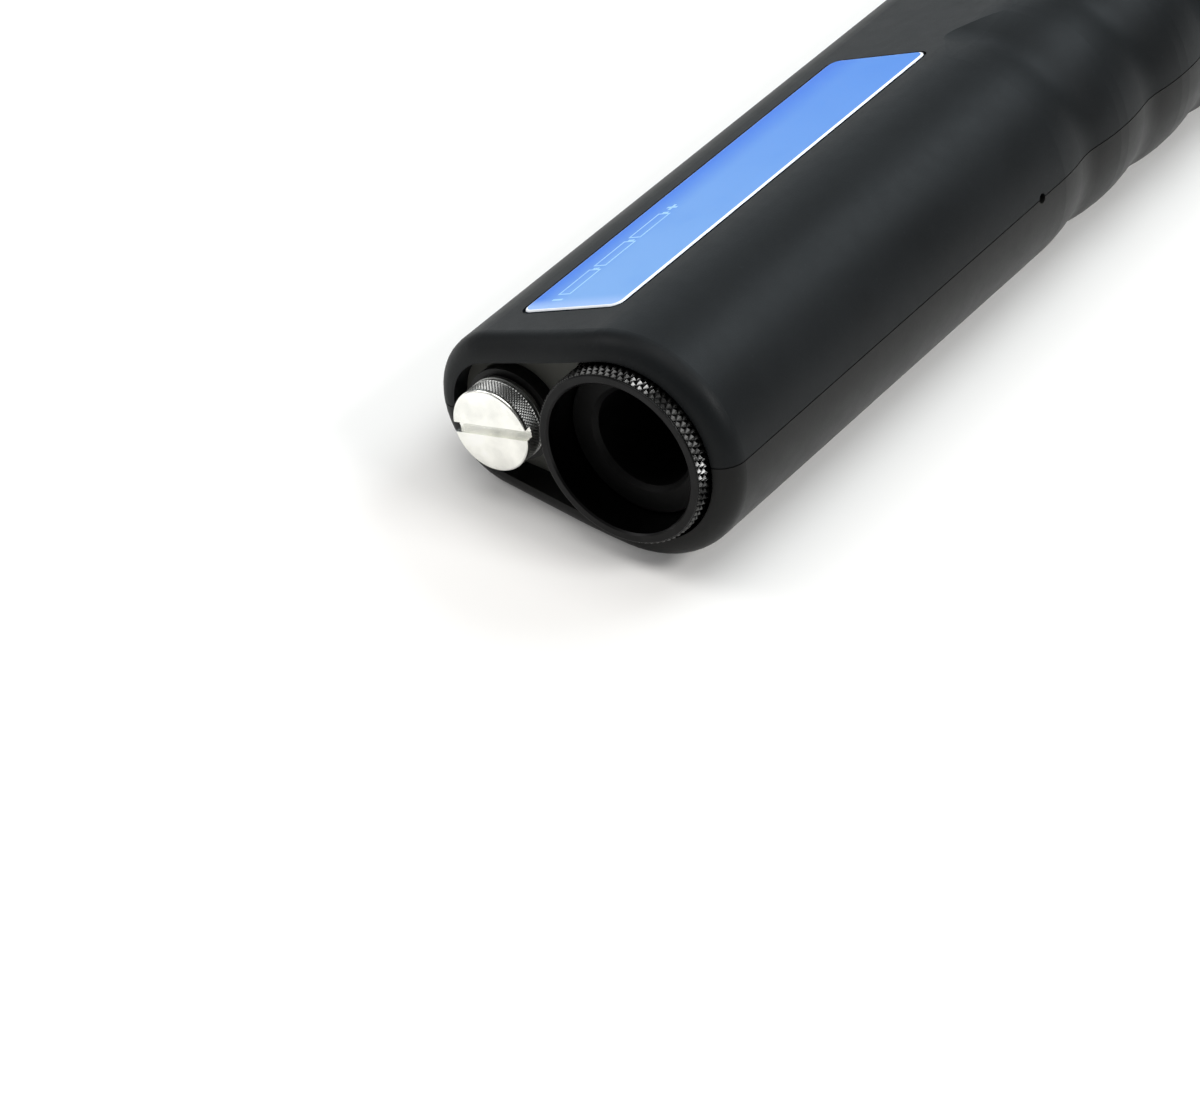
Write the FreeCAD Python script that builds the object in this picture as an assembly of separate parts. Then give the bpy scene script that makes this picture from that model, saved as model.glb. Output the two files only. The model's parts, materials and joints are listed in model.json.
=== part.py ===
"""Hand-held fibre inspection microscope, lying on the flat of its lower shell.

Two moulded halves meet on a plane that holds both the optics axis and the battery axis. The section is
the hull of a large round lobe about the optics and a small one about the batteries, so each half has one
flat between its lobes. The pieces are modelled in a section frame: x across from the optics axis, y from
the front lip to the rear, z up from the parting plane. At the end they are set down on the lower flat,
+Z up, with the origin under the middle of the whole.
"""
import FreeCAD
import Part
import math
import os

Vector = FreeCAD.Vector
CELL_PLACES = ("front", "middle", "rear")

# Focus ring
ring_lip_r = 15.2
ring_lip_length = 0.4
ring_lip_width = 1.76
ring_chamfer = 0.3
ring_projection = 2.7
ring_knurl_step = 0.3
ring_flange_gap = 0.5
ring_flange_length = 1.7
ring_sleeve_wall = 1.6
ring_turn_limit = 60.0
ring_axial_play = 0.3

# Battery cap
cap_head_step = 1.15
cap_seat_gap = 0.2
cap_face_setback = 0.9
cap_chamfer = 0.4
cap_shank_length = 8.0
cap_web = 1.8
cap_shank_wall = 1.5
cap_gap = 2.95
coin_slot_width = 1.8
coin_slot_depth = 1.5
coin_slot_angle = 3.0

# Shells
crease_wall = 0.7
rim_width = 4.0
rim_depth = 6.5
rim_land = 0.2
rake_angle = 5.7
rake_start = 8.0
rake_bend = 6.0
ring_gap = 0.5
rear_round = 6.0
rear_wall = 3.0
seam_gap = 0.2
tongue_thickness = 1.2
tongue_height = 1.5
tongue_clearance = 0.1
rib_thickness = 1.6
rear_rib_gap = 4.8
seam_hole_r = 0.9
seam_hole_depth = 1.4
seam_hole_y = 98.1

# Finger grips along the optics side
grip_first_y = 115.3
grip_pitch = 21.5
grip_count = 4
grip_depth = 1.0
grip_crease_r = 14.0
grip_lift = 0.02
grip_run = 10.0
grip_tail = 14.15

# Domed label in its recess on the upper flat
label_width = 20.6
label_length = 94.1
label_front_y = 14.2
label_offset = 0.7
label_recess = 0.45
label_thickness = 0.65
label_border = 0.5
label_corner_r = 2.0
label_round = 0.4

# Front plate
plate_thickness = 2.5
plate_clearance = 0.3

# Connector adapter and ferrule sleeve
adapter_setback = 6.7
adapter_play = 0.06
socket_r = 8.75
socket_depth = 14.0
socket_chamfer = 0.8
socket_floor = 6.0
key_width = 3.0
key_depth = 1.2
adapter_flange_length = 3.0
spigot_length = 4.0
sleeve_r = 2.0
ferrule_r = 1.25

# Objective carriage and its drive
spigot_wall = 0.8
carriage_play = 0.05
carriage_length = 19.0
carriage_margin = 0.6
carriage_bore_r = 4.0
objective_r = 5.0
objective_thickness = 2.4
objective_sagitta = 0.9
focus_pitch = 12.0
pin_r = 1.0
pin_play = 0.1
pin_depth = 3.0
groove_depth = 0.9

# Optical tube and what it holds
tube_wall = 1.2
holder_front_y = 86.7
holder_length = 18.0
holder_bore_r = 7.5
splitter_inset = 1.0
splitter_bite = 1.1
splitter_thickness = 1.0
filter_gap = 14.0
filter_thickness = 2.0

# Lamp board, lamp and push switch
board_clearance = 0.2
board_thickness = 1.0
board_width = 22.0
board_edge = 1.2
board_nose = 10.0
board_tail = 9.0
board_post_inset = 6.0
lamp_r = 2.5
lamp_length = 5.0
lamp_flange_step = 0.4
lamp_flange_length = 1.0
lamp_clearance = 0.3
switch_size = 6.0
switch_height = 0.9
plunger_r = 1.5
plunger_height = 0.3
plunger_clearance = 0.3
post_r = 2.2

# Light button on the upper flat
button_r = 5.5
button_clearance = 0.3
button_flange_step = 1.3
button_flange_length = 0.7
button_flange_gap = 0.3
button_travel = 0.8
button_proud = 0.9
button_dome = 0.5
button_from_rear = 32.0
button_across = 12.0

# Batteries
cell_r = 5.25
cell_length = 44.5
cell_nub_r = 1.9
cell_nub_length = 1.0
cell_chamfer = 0.4
cell_clearance = 0.2
spring_reach = 4.2
battery_tube_wall = 1.15
collar_wall = 2.0
collar_proud = 2.5
thread_depth = 0.75
thread_play = 0.05
rear_contact_thickness = 0.8
battery_tube_floor = 1.4

# Contact disc and spring inside the cap
disc_thickness = 0.8
disc_clearance = 0.2
disc_stem_r = 1.15
disc_stem_play = 0.05
disc_gap = 0.3
spring_wire_r = 0.4
spring_turns = 3.0
spring_gap = 0.1

# Eyepiece
barrel_overlap = 14.0
barrel_shoulder = 26.0
barrel_flange_step = 1.4
barrel_flange_length = 2.0
barrel_wall = 1.3
lens_ledge = 1.0
neck_wall = 1.5
neck_length = 8.0
field_lens_thickness = 3.5
field_lens_sagitta = 1.6
eye_lens_thickness = 4.5
eye_lens_sagitta = 1.5
eyecup_length = 24.7
eyecup_base_wall = 3.7
eyecup_waist_wall = 2.9
eyecup_flare = 6.3
eyecup_waist_share = 0.3
eyecup_wall = 1.8

# Shell screws
screw_front_gap = 11.8
screw_rear_margin = 10.0
screw_count = 4
screw_r = 1.2
screw_head_r = 2.4
screw_head_height = 1.8
screw_head_sink = 1.4
screw_socket_r = 1.3
screw_socket_depth = 1.1
screw_hole_play = 0.3
screw_grip = 9.0
boss_clearance = 0.35

# Battery side: cell, thread, cap
cell_count = len(CELL_PLACES)
cell_bore_r = cell_r + cell_clearance
cap_shank_r = cell_bore_r + thread_depth
collar_bore_r = cap_shank_r + thread_play
battery_tube_r = cell_bore_r + battery_tube_wall
collar_r = collar_bore_r + collar_wall
cap_head_r = cap_shank_r + cap_head_step
disc_r = cap_shank_r - cap_shank_wall - disc_clearance

# Section: both lobes grow from the ring and the cap at the front
ring_bore_r = ring_lip_r - ring_lip_width
ring_knurl_r = ring_lip_r + ring_knurl_step
opening_r = ring_knurl_r + ring_gap
optics_lobe_r = opening_r + rim_width
battery_lobe_r = cap_head_r + cap_gap + rim_width
axis_gap = ring_knurl_r + cap_gap + cap_head_r
battery_x = -axis_gap
flat_tilt = math.degrees(math.asin((optics_lobe_r - battery_lobe_r) / axis_gap))
tilt_sin = math.sin(math.radians(flat_tilt))
tilt_cos = math.cos(math.radians(flat_tilt))
flat_width = axis_gap * tilt_cos
rim_round = rim_width - rim_land
wall = tongue_thickness + tongue_clearance + grip_depth + crease_wall
cavity_r = optics_lobe_r - wall
ring_sleeve_r = ring_bore_r + ring_sleeve_wall
ring_flange_r = cavity_r - ring_flange_gap
label_edge = (flat_width - label_width) / 2 + label_offset

# Depths below the upper flat: button, switch and board, then the optical tube under them
button_flange_depth = wall + button_flange_gap + button_flange_length
board_top = (button_flange_depth + button_travel + plunger_clearance
             + plunger_height + switch_height)
tube_r = optics_lobe_r - board_top - board_thickness - board_clearance
tube_bore_r = tube_r - tube_wall
carriage_r = tube_bore_r - spigot_wall - carriage_play
lens_seat_r = tube_bore_r - barrel_wall
barrel_bore_r = lens_seat_r - lens_ledge
neck_r = lens_seat_r + neck_wall
lamp_flange_r = lamp_r + lamp_flange_step
splitter_width = 2 * (holder_bore_r - splitter_inset)
splitter_length = 2 * math.sqrt(2 * ((holder_bore_r + splitter_bite) ** 2 - (splitter_width / 2) ** 2))

# Places along the body
front_y = ring_projection
plate_y = front_y + rim_depth
plate_rear_y = plate_y + plate_thickness
rear_y = grip_first_y + grip_pitch * (grip_count - 0.5) + grip_tail
cavity_rear_y = rear_y - rear_wall
whole_length = rear_y + barrel_flange_length + eyecup_length
ring_flange_y = plate_rear_y + ring_axial_play
focus_travel = focus_pitch * ring_turn_limit / 360.0
socket_floor_y = adapter_setback + socket_depth
carriage_room_y = socket_floor_y + socket_floor
carriage_y = carriage_room_y + focus_travel + carriage_margin
pin_y = carriage_y + carriage_length / 2
carriage_rear_y = carriage_y + carriage_length
flange_y = carriage_rear_y + focus_travel + carriage_margin - adapter_flange_length
flange_rear_y = flange_y + adapter_flange_length
holder_rear_y = holder_front_y + holder_length
lamp_y = holder_front_y + holder_length / 2
filter_y = holder_rear_y + filter_gap
barrel_shoulder_y = rear_y - barrel_shoulder
barrel_front_y = barrel_shoulder_y - barrel_overlap
button_y = rear_y - button_from_rear
board_front_y = lamp_y - board_nose
board_length = button_y + board_tail - board_front_y
cap_face_y = cap_face_setback
collar_y = plate_y - collar_proud
cap_back_y = collar_y - cap_seat_gap
collar_rear_y = cap_back_y + cap_shank_length + cap_web
cell_first_y = cap_back_y + cap_shank_length + spring_reach
cells_rear_y = cell_first_y + cell_length * cell_count
battery_tube_rear_y = cells_rear_y + rear_contact_thickness + battery_tube_floor
disc_y = cap_back_y + cap_web + disc_gap

# Screws stand in the gap between the two tubes
screw_x = (battery_x + battery_tube_r - tube_r) / 2
boss_r = (-tube_r - battery_x - battery_tube_r) / 2 - boss_clearance
screw_first_y = flange_rear_y + screw_front_gap
screw_pitch = (rear_y - screw_rear_margin - screw_first_y) / (screw_count - 1)
screw_places = [screw_first_y + screw_pitch * i for i in range(screw_count)]

# Larger than the whole, for cutting planes; how far a cutter runs past a face; a match between edges
BIG = 4.0 * whole_length
OVER = 1.0
NEAR = 0.01

UPPER_FLAT = FreeCAD.Placement(
    Vector(battery_x - battery_lobe_r * tilt_sin, 0, battery_lobe_r * tilt_cos),
    FreeCAD.Rotation(Vector(0, 1, 0), -flat_tilt))
AT_OPTICS = FreeCAD.Placement(Vector(0, 0, 0), FreeCAD.Rotation(Vector(0, 1, 0), -flat_tilt))
SET_DOWN = FreeCAD.Placement(
    Vector((axis_gap * tilt_cos + battery_lobe_r - optics_lobe_r) / 2, -whole_length / 2, optics_lobe_r),
    FreeCAD.Rotation(Vector(0, 1, 0), -flat_tilt))


def placed(shape, placement):
    """A copy of the shape moved by the placement."""
    moved = shape.copy()
    moved.Placement = placement.multiply(moved.Placement)
    return moved


def turned(profile, axis_x=0.0):
    """A body of revolution about a line along y, from a closed list of (radius, y) points."""
    points = [Vector(axis_x + r, y, 0) for r, y in profile]
    face = Part.Face(Part.makePolygon(points + points[:1]))
    return face.revolve(Vector(axis_x, 0, 0), Vector(0, 1, 0), 360)


def rod(radius, y0, y1, axis_x=0.0):
    """A plain cylinder along y."""
    return Part.makeCylinder(radius, y1 - y0, Vector(axis_x, y0, 0), Vector(0, 1, 0))


def pipe(outer_r, inner_r, y0, y1, axis_x=0.0):
    """A plain tube along y."""
    return turned([(inner_r, y0), (outer_r, y0), (outer_r, y1), (inner_r, y1)], axis_x)


def lens(radius, y0, thickness, sagitta, front):
    """A flat-backed lens: its crown faces the front or the rear, within the thickness given."""
    crown_y = y0 if front else y0 + thickness
    inward = 1 if front else -1
    edge_y = crown_y + inward * sagitta
    back_y = crown_y + inward * thickness
    middle_r = radius / 2
    sphere_r = (radius ** 2 + sagitta ** 2) / (2 * sagitta)
    middle_y = crown_y + inward * (sphere_r - math.sqrt(sphere_r ** 2 - middle_r ** 2))
    crown = Part.Arc(Vector(0, crown_y, 0), Vector(middle_r, middle_y, 0),
                     Vector(radius, edge_y, 0)).toShape()
    side = Part.makeLine(Vector(radius, edge_y, 0), Vector(radius, back_y, 0))
    back = Part.makeLine(Vector(radius, back_y, 0), Vector(0, back_y, 0))
    axis = Part.makeLine(Vector(0, back_y, 0), Vector(0, crown_y, 0))
    return Part.Face(Part.Wire([crown, side, back, axis])).revolve(Vector(0, 0, 0), Vector(0, 1, 0), 360)


def slab(z0, z1):
    """Everything between two heights above the parting plane."""
    return Part.makeBox(BIG, BIG, z1 - z0, Vector(-BIG / 2, -BIG / 2, z0))


def pear(inset, y0, y1):
    """The hull of both lobes, drawn in by an inset and carried along y."""
    big = optics_lobe_r - inset
    small = battery_lobe_r - inset
    optics = Vector(0, y0, 0)
    battery = Vector(battery_x, y0, 0)
    up = Vector(-tilt_sin, 0, tilt_cos)
    down = Vector(-tilt_sin, 0, -tilt_cos)
    right = Part.Arc(optics + up * big, optics + Vector(big, 0, 0), optics + down * big).toShape()
    below = Part.makeLine(optics + down * big, battery + down * small)
    left = Part.Arc(battery + down * small, battery + Vector(-small, 0, 0), battery + up * small).toShape()
    above = Part.makeLine(battery + up * small, optics + up * big)
    return Part.Face(Part.Wire([right, below, left, above])).extrude(Vector(0, y1 - y0, 0))


def front_wedge(y0):
    """Everything ahead of the front edge, which bends back on the battery side to free the cap."""
    slope = math.radians(rake_angle)
    radius = rake_bend / math.tan(slope / 2)
    right = Vector(rake_bend - rake_start, y0, -BIG / 2)
    centre = right + Vector(0, radius, 0)
    middle = centre - Vector(radius * math.sin(slope / 2), radius * math.cos(slope / 2), 0)
    left = centre - Vector(radius * math.sin(slope), radius * math.cos(slope), 0)
    far_left = left + Vector(-BIG, BIG * math.tan(slope), 0)
    far_right = right + Vector(BIG, 0, 0)
    ahead = [far_left, Vector(far_left.x, -BIG, -BIG / 2),
             Vector(far_right.x, -BIG, -BIG / 2), far_right, right]
    edges = [Part.Arc(right, middle, left).toShape(), Part.makeLine(left, far_left)]
    edges += [Part.makeLine(a, b) for a, b in zip(ahead, ahead[1:])]
    return Part.Face(Part.Wire(edges)).extrude(Vector(0, 0, BIG))


def rounded_body(inset):
    """The outer form drawn in by an inset, with its front and rear edges rounded."""
    y0 = front_y + inset
    y1 = rear_y - inset
    body = pear(inset, y0 - OVER, y1).cut(front_wedge(y0))
    front = [edge for edge in body.Edges
             if edge.BoundBox.YMax < (y0 + y1) / 2 and edge.BoundBox.XLength > NEAR]
    body = body.makeFillet(rim_round - inset, front)
    rear = [edge for edge in body.Edges if edge.BoundBox.YMin > y1 - NEAR]
    return body.makeFillet(rear_round - inset, rear)


def grip_cutter():
    """Finger hollows: creases and bumps turned half way round the optics axis on the seam's side, then
    carried straight on until they run out on both flats."""
    top_r = optics_lobe_r + grip_lift
    swing = 2 * math.atan(grip_depth / (grip_pitch / 2))
    bump_r = grip_pitch / 2 / math.sin(swing) - grip_crease_r

    def at(y, r):
        return Vector(r, y, 0)

    def on_bump(peak_y, angle):
        return at(peak_y + bump_r * math.sin(angle), top_r - bump_r * (1 - math.cos(angle)))

    edges = []
    for i in range(grip_count):
        crease_y = grip_first_y + grip_pitch * i
        before = crease_y - grip_pitch / 2
        after = crease_y + grip_pitch / 2
        edges.append(Part.Arc(on_bump(before, 0), on_bump(before, swing / 2),
                              on_bump(before, swing)).toShape())
        edges.append(Part.Arc(on_bump(before, swing), at(crease_y, top_r - grip_depth),
                              on_bump(after, -swing)).toShape())
        edges.append(Part.Arc(on_bump(after, -swing), on_bump(after, -swing / 2),
                              on_bump(after, 0)).toShape())
    y0 = grip_first_y - grip_pitch / 2
    y1 = grip_first_y + grip_pitch * (grip_count - 0.5)
    outside = [at(y1, top_r), at(y1, top_r + rim_width), at(y0, top_r + rim_width), at(y0, top_r)]
    edges += [Part.makeLine(a, b) for a, b in zip(outside, outside[1:])]
    face = Part.Face(Part.Wire(edges))
    face.rotate(Vector(0, 0, 0), Vector(0, 1, 0), -90)
    around = face.revolve(Vector(0, 0, 0), Vector(0, 1, 0), 180)
    above = face.extrude(Vector(-grip_run, 0, 0))
    face.rotate(Vector(0, 0, 0), Vector(0, 1, 0), 180)
    below = face.extrude(Vector(-grip_run, 0, 0))
    return around.fuse([above, below]).removeSplitter()


def label_block(border, height):
    """The label's outline grown by a border, raised from the recess's floor, in the upper flat's frame."""
    block = Part.makeBox(label_width + 2 * border, label_length + 2 * border, height,
                         Vector(label_edge - border, label_front_y - border, -label_recess))
    upright = [edge for edge in block.Edges if edge.BoundBox.ZLength > height / 2]
    return block.makeFillet(label_corner_r + border, upright)


def rib(y0, hole_r):
    """A cross rib in the cavity that carries the optics and the battery tube."""
    blank = pear(wall / 2, y0, y0 + rib_thickness)
    y1 = y0 + rib_thickness
    return blank.cut(rod(hole_r, y0 - OVER, y1 + OVER)).cut(
        rod(battery_tube_r, y0 - OVER, y1 + OVER, battery_x))


def shell_blank():
    """The whole hollow housing before it is parted: rim opening, eyepiece hole, grips and seam hole cut."""
    blank = rounded_body(0).cut(grip_cutter())
    blank = blank.cut(pear(wall, plate_y, cavity_rear_y))
    blank = blank.cut(pear(rim_width, front_y - OVER, plate_y + OVER))
    blank = blank.cut(rod(tube_r, cavity_rear_y - OVER, rear_y + OVER))
    return blank.cut(Part.makeCylinder(seam_hole_r, seam_hole_depth + OVER,
                                       Vector(optics_lobe_r + OVER, seam_hole_y, 0), Vector(-1, 0, 0)))


def tongue_band(outer_inset, inner_inset, z0, z1):
    """A band that follows the inside of the wall between two insets and two heights."""
    band = rounded_body(outer_inset).cut(pear(inner_inset, plate_y, cavity_rear_y))
    band = band.cut(pear(rim_width, front_y, plate_y + OVER))
    band = band.cut(rod(tube_r, cavity_rear_y - OVER, rear_y + OVER))
    return band.common(slab(z0, z1))


def bosses(z0, z1):
    """Screw bosses between the tubes, run into the wall."""
    inside = pear(wall / 2, plate_y, cavity_rear_y)
    made = None
    for y in screw_places:
        boss = Part.makeCylinder(boss_r, z1 - z0, Vector(screw_x, y, z0)).common(inside)
        made = boss if made is None else made.fuse(boss)
    return made


def upper_shell(blank):
    """Upper half: ribs, bosses, board posts, the rebate for the tongue, label recess and button hole."""
    shell = blank.common(slab(seam_gap / 2, BIG / 2))
    inside = [rib(flange_y - adapter_play - rib_thickness, ring_sleeve_r + ring_gap),
              rib(flange_rear_y, tube_r),
              rib(barrel_shoulder_y + rear_rib_gap, tube_r),
              bosses(0, BIG / 4)]
    for y in (board_front_y + board_post_inset, board_front_y + board_length / 2):
        post = Part.makeCylinder(post_r, board_top - wall / 2, Vector(button_across, y, -board_top))
        inside.append(placed(post, UPPER_FLAT))
    for piece in inside:
        shell = shell.fuse(piece.common(slab(seam_gap / 2, BIG / 2)))
    outer = wall - tongue_thickness - tongue_clearance
    shell = shell.cut(tongue_band(outer, wall + tongue_clearance, -OVER, tongue_height + tongue_clearance))
    shell = shell.cut(placed(label_block(label_border, label_recess + OVER), UPPER_FLAT))
    hole = Part.makeCylinder(button_r + button_clearance, 2 * wall,
                             Vector(button_across, button_y, OVER - 2 * wall))
    shell = shell.cut(placed(hole, UPPER_FLAT))
    for y in screw_places:
        shell = shell.cut(Part.makeCylinder(screw_r, screw_grip, Vector(screw_x, y, 0)))
    return shell.removeSplitter()


def screw_seat_z():
    """Height of the faces under the screw heads, sunk below the lower flat at the screws."""
    return (-optics_lobe_r - screw_x * tilt_sin) / tilt_cos + screw_head_sink + screw_head_height


def lower_shell(blank):
    """Lower half: ribs, screw bosses with sunk seats, and the tongue that lines up the upper half."""
    shell = blank.common(slab(-BIG / 2, -seam_gap / 2))
    middle = (flange_rear_y + barrel_shoulder_y) / 2
    inside = [rib(flange_y - adapter_play - rib_thickness, ring_sleeve_r + ring_gap),
              rib(flange_rear_y, tube_r),
              rib(middle, tube_r),
              rib(barrel_shoulder_y + rear_rib_gap, tube_r),
              bosses(-BIG / 4, 0)]
    for piece in inside:
        shell = shell.fuse(piece.common(slab(-BIG / 2, -seam_gap / 2)))
    shell = shell.fuse(tongue_band(wall - tongue_thickness, wall, -seam_gap / 2, tongue_height))
    seat = screw_seat_z()
    for y in screw_places:
        shell = shell.cut(Part.makeCylinder(screw_r + screw_hole_play, BIG / 4, Vector(screw_x, y, -BIG / 4)))
        shell = shell.cut(Part.makeCylinder(screw_head_r + screw_hole_play, BIG / 4,
                                            Vector(screw_x, y, seat - BIG / 4)))
    return shell.removeSplitter()


def shell_screws():
    """Cap screws with a hexagon socket, one solid each."""
    seat = screw_seat_z()
    screws = []
    for y in screw_places:
        head = Part.makeCylinder(screw_head_r, screw_head_height,
                                 Vector(screw_x, y, seat - screw_head_height))
        shank = Part.makeCylinder(screw_r, screw_grip - seat, Vector(screw_x, y, seat))
        corners = [Vector(screw_x + screw_socket_r * math.cos(math.radians(60 * i)),
                          y + screw_socket_r * math.sin(math.radians(60 * i)), seat - screw_head_height)
                   for i in range(6)]
        hexagon = Part.Face(Part.makePolygon(corners + corners[:1]))
        screws.append(head.fuse(shank).cut(hexagon.extrude(Vector(0, 0, screw_socket_depth))))
    return Part.makeCompound(screws)


def label_plate():
    """The domed label on the floor of its recess: round corners, and a top edge rounded over."""
    block = label_block(0, label_thickness)
    top = [edge for edge in block.Edges if edge.BoundBox.ZMin > label_thickness / 2 - label_recess]
    return placed(block.makeFillet(label_round, top), UPPER_FLAT)


def front_plate():
    """Bulkhead behind the rim, with a hole for the ring and one for the battery collar."""
    plate = pear(wall, plate_y, plate_rear_y)
    plate = plate.cut(rod(ring_knurl_r + plate_clearance, plate_y - OVER, plate_rear_y + OVER))
    return plate.cut(rod(collar_r, plate_y - OVER, plate_rear_y + OVER, battery_x))


def focus_ring():
    """Knurled ring with a smooth lip, a flange behind the front plate and a sleeve with a helical groove."""
    rear = flange_y - ring_axial_play
    flange_back = ring_flange_y + ring_flange_length
    ring = turned([
        (ring_bore_r + ring_chamfer, 0), (ring_lip_r - ring_chamfer, 0), (ring_lip_r, ring_chamfer),
        (ring_lip_r, ring_lip_length), (ring_knurl_r, ring_lip_length + ring_knurl_step),
        (ring_knurl_r, ring_flange_y), (ring_flange_r, ring_flange_y),
        (ring_flange_r, flange_back), (ring_sleeve_r, flange_back),
        (ring_sleeve_r, rear), (ring_bore_r, rear), (ring_bore_r, ring_chamfer)])
    half_angle = ring_turn_limit + math.degrees((pin_r + 2 * pin_play) / ring_bore_r)
    rise = focus_pitch * half_angle / 180.0
    middle_r = ring_bore_r + groove_depth / 2
    spine = Part.makeHelix(focus_pitch, rise, middle_r)
    half_width = pin_r + pin_play
    inner = ring_bore_r - groove_depth
    outer = ring_bore_r + groove_depth
    corners = [Vector(inner, 0, -half_width), Vector(outer, 0, -half_width),
               Vector(outer, 0, half_width), Vector(inner, 0, half_width)]
    profile = Part.makePolygon(corners + corners[:1])
    groove = Part.Wire(spine.Edges).makePipeShell([profile], True, True)
    groove.rotate(Vector(0, 0, 0), Vector(1, 0, 0), -90)
    groove.rotate(Vector(0, 0, 0), Vector(0, 1, 0), -half_angle)
    groove.translate(Vector(0, pin_y - rise / 2, 0))
    return ring.cut(groove)


def connector_adapter():
    """Fixed socket that the ring turns on; its rear bore guides the objective carriage."""
    outer = ring_bore_r - adapter_play
    bore = carriage_r + carriage_play
    body = turned([
        (sleeve_r, socket_floor_y), (socket_r, socket_floor_y), (socket_r, adapter_setback + socket_chamfer),
        (socket_r + socket_chamfer, adapter_setback), (outer - ring_chamfer, adapter_setback),
        (outer, adapter_setback + ring_chamfer), (outer, flange_y), (cavity_r, flange_y),
        (cavity_r, flange_rear_y), (tube_bore_r, flange_rear_y), (tube_bore_r, flange_rear_y + spigot_length),
        (bore, flange_rear_y + spigot_length), (bore, carriage_room_y), (sleeve_r, carriage_room_y)])
    key = Part.makeBox(key_width, socket_depth, socket_r + key_depth,
                       Vector(-key_width / 2, adapter_setback, 0)).cut(
        rod(socket_r - key_depth, adapter_setback - OVER, socket_floor_y + OVER))
    reach = focus_travel + pin_r + 2 * pin_play
    slot_r = pin_r + pin_play
    run = reach - slot_r
    slot = Part.makeBox(outer, 2 * run, 2 * slot_r, Vector(bore - OVER, pin_y - run, -slot_r))
    for y in (pin_y - run, pin_y + run):
        slot = slot.fuse(Part.makeCylinder(slot_r, outer, Vector(bore - OVER, y, 0), Vector(1, 0, 0)))
    return body.cut(key).cut(slot)


def ferrule_sleeve():
    """Ceramic sleeve in the socket floor that lines up the connector's ferrule."""
    return pipe(sleeve_r, ferrule_r, socket_floor_y, carriage_room_y)


def objective_carriage():
    """Barrel that slides along the optics axis, with a lens seat at each end and a hole for the pin."""
    seat = objective_thickness
    body = turned([
        (objective_r, carriage_y), (carriage_r, carriage_y), (carriage_r, carriage_rear_y),
        (objective_r, carriage_rear_y), (objective_r, carriage_rear_y - seat),
        (carriage_bore_r, carriage_rear_y - seat), (carriage_bore_r, carriage_y + seat),
        (objective_r, carriage_y + seat)])
    return body.cut(Part.makeCylinder(pin_r, pin_depth + OVER, Vector(carriage_r + OVER, pin_y, 0),
                                      Vector(-1, 0, 0)))


def drive_pin():
    """Pin from the carriage through the adapter's slot into the ring's groove."""
    start = carriage_r - pin_depth
    end = ring_bore_r + groove_depth - pin_play
    return Part.makeCylinder(pin_r, end - start, Vector(start, pin_y, 0), Vector(1, 0, 0))


def objective_front_lens():
    """Front objective lens, crown to the fibre."""
    return lens(objective_r, carriage_y, objective_thickness, objective_sagitta, True)


def objective_rear_lens():
    """Rear objective lens, crown to the eyepiece."""
    front = carriage_rear_y - objective_thickness
    return lens(objective_r, front, objective_thickness, objective_sagitta, False)


def lamp_window():
    """Radial way for the lamp through the optical tube, in the line of the upper flat's normal."""
    window = Part.makeCylinder(lamp_flange_r + lamp_clearance, tube_r * 2, Vector(0, lamp_y, 0))
    return placed(window, AT_OPTICS)


def optical_tube():
    """Plain tube from the adapter to the eyepiece barrel."""
    return pipe(tube_r, tube_bore_r, flange_rear_y, barrel_shoulder_y).cut(lamp_window())


def splitter_blank():
    """The glass plate at 45 degrees to the axis, facing the lamp and the objective."""
    plate = Part.makeBox(splitter_width, splitter_length, splitter_thickness,
                         Vector(-splitter_width / 2, -splitter_length / 2, -splitter_thickness / 2))
    plate.rotate(Vector(0, 0, 0), Vector(1, 0, 0), 45)
    plate.translate(Vector(0, lamp_y, 0))
    return placed(plate, AT_OPTICS)


def splitter_holder():
    """Short tube that carries the plate in a slanted slot."""
    holder = pipe(tube_bore_r, holder_bore_r, holder_front_y, holder_rear_y)
    return holder.cut(lamp_window()).cut(splitter_blank())


def ir_filter():
    """Disc of filter glass that keeps laser light from the eye."""
    return rod(tube_bore_r, filter_y, filter_y + filter_thickness)


def lamp_board():
    """Circuit board below the upper flat, over both tubes, with holes that slip over the bosses."""
    across = flat_width + lamp_flange_r + board_edge - board_width
    board = Part.makeBox(board_width, board_length, board_thickness,
                         Vector(across, board_front_y, -board_top - board_thickness))
    board = placed(board, UPPER_FLAT)
    for y in screw_places:
        board = board.cut(Part.makeCylinder(boss_r + boss_clearance, BIG / 4, Vector(screw_x, y, 0)))
    return board


def lamp_led():
    """Round lamp with its flange against the board, shining through the tube's window."""
    under = optics_lobe_r - board_top - board_thickness
    tip_z = under - lamp_length
    flange = Part.makeCylinder(lamp_flange_r, lamp_flange_length,
                               Vector(0, lamp_y, under - lamp_flange_length))
    barrel = Part.makeCylinder(lamp_r, lamp_length - lamp_r, Vector(0, lamp_y, tip_z + lamp_r))
    dome = Part.makeSphere(lamp_r, Vector(0, lamp_y, tip_z + lamp_r))
    return placed(flange.fuse(barrel).fuse(dome).removeSplitter(), AT_OPTICS)


def push_switch():
    """Low push switch on the board under the light button."""
    half = switch_size / 2
    body = Part.makeBox(switch_size, switch_size, switch_height,
                        Vector(button_across - half, button_y - half, -board_top))
    plunger = Part.makeCylinder(plunger_r, plunger_height,
                                Vector(button_across, button_y, -board_top + switch_height))
    return placed(body.fuse(plunger), UPPER_FLAT)


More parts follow.
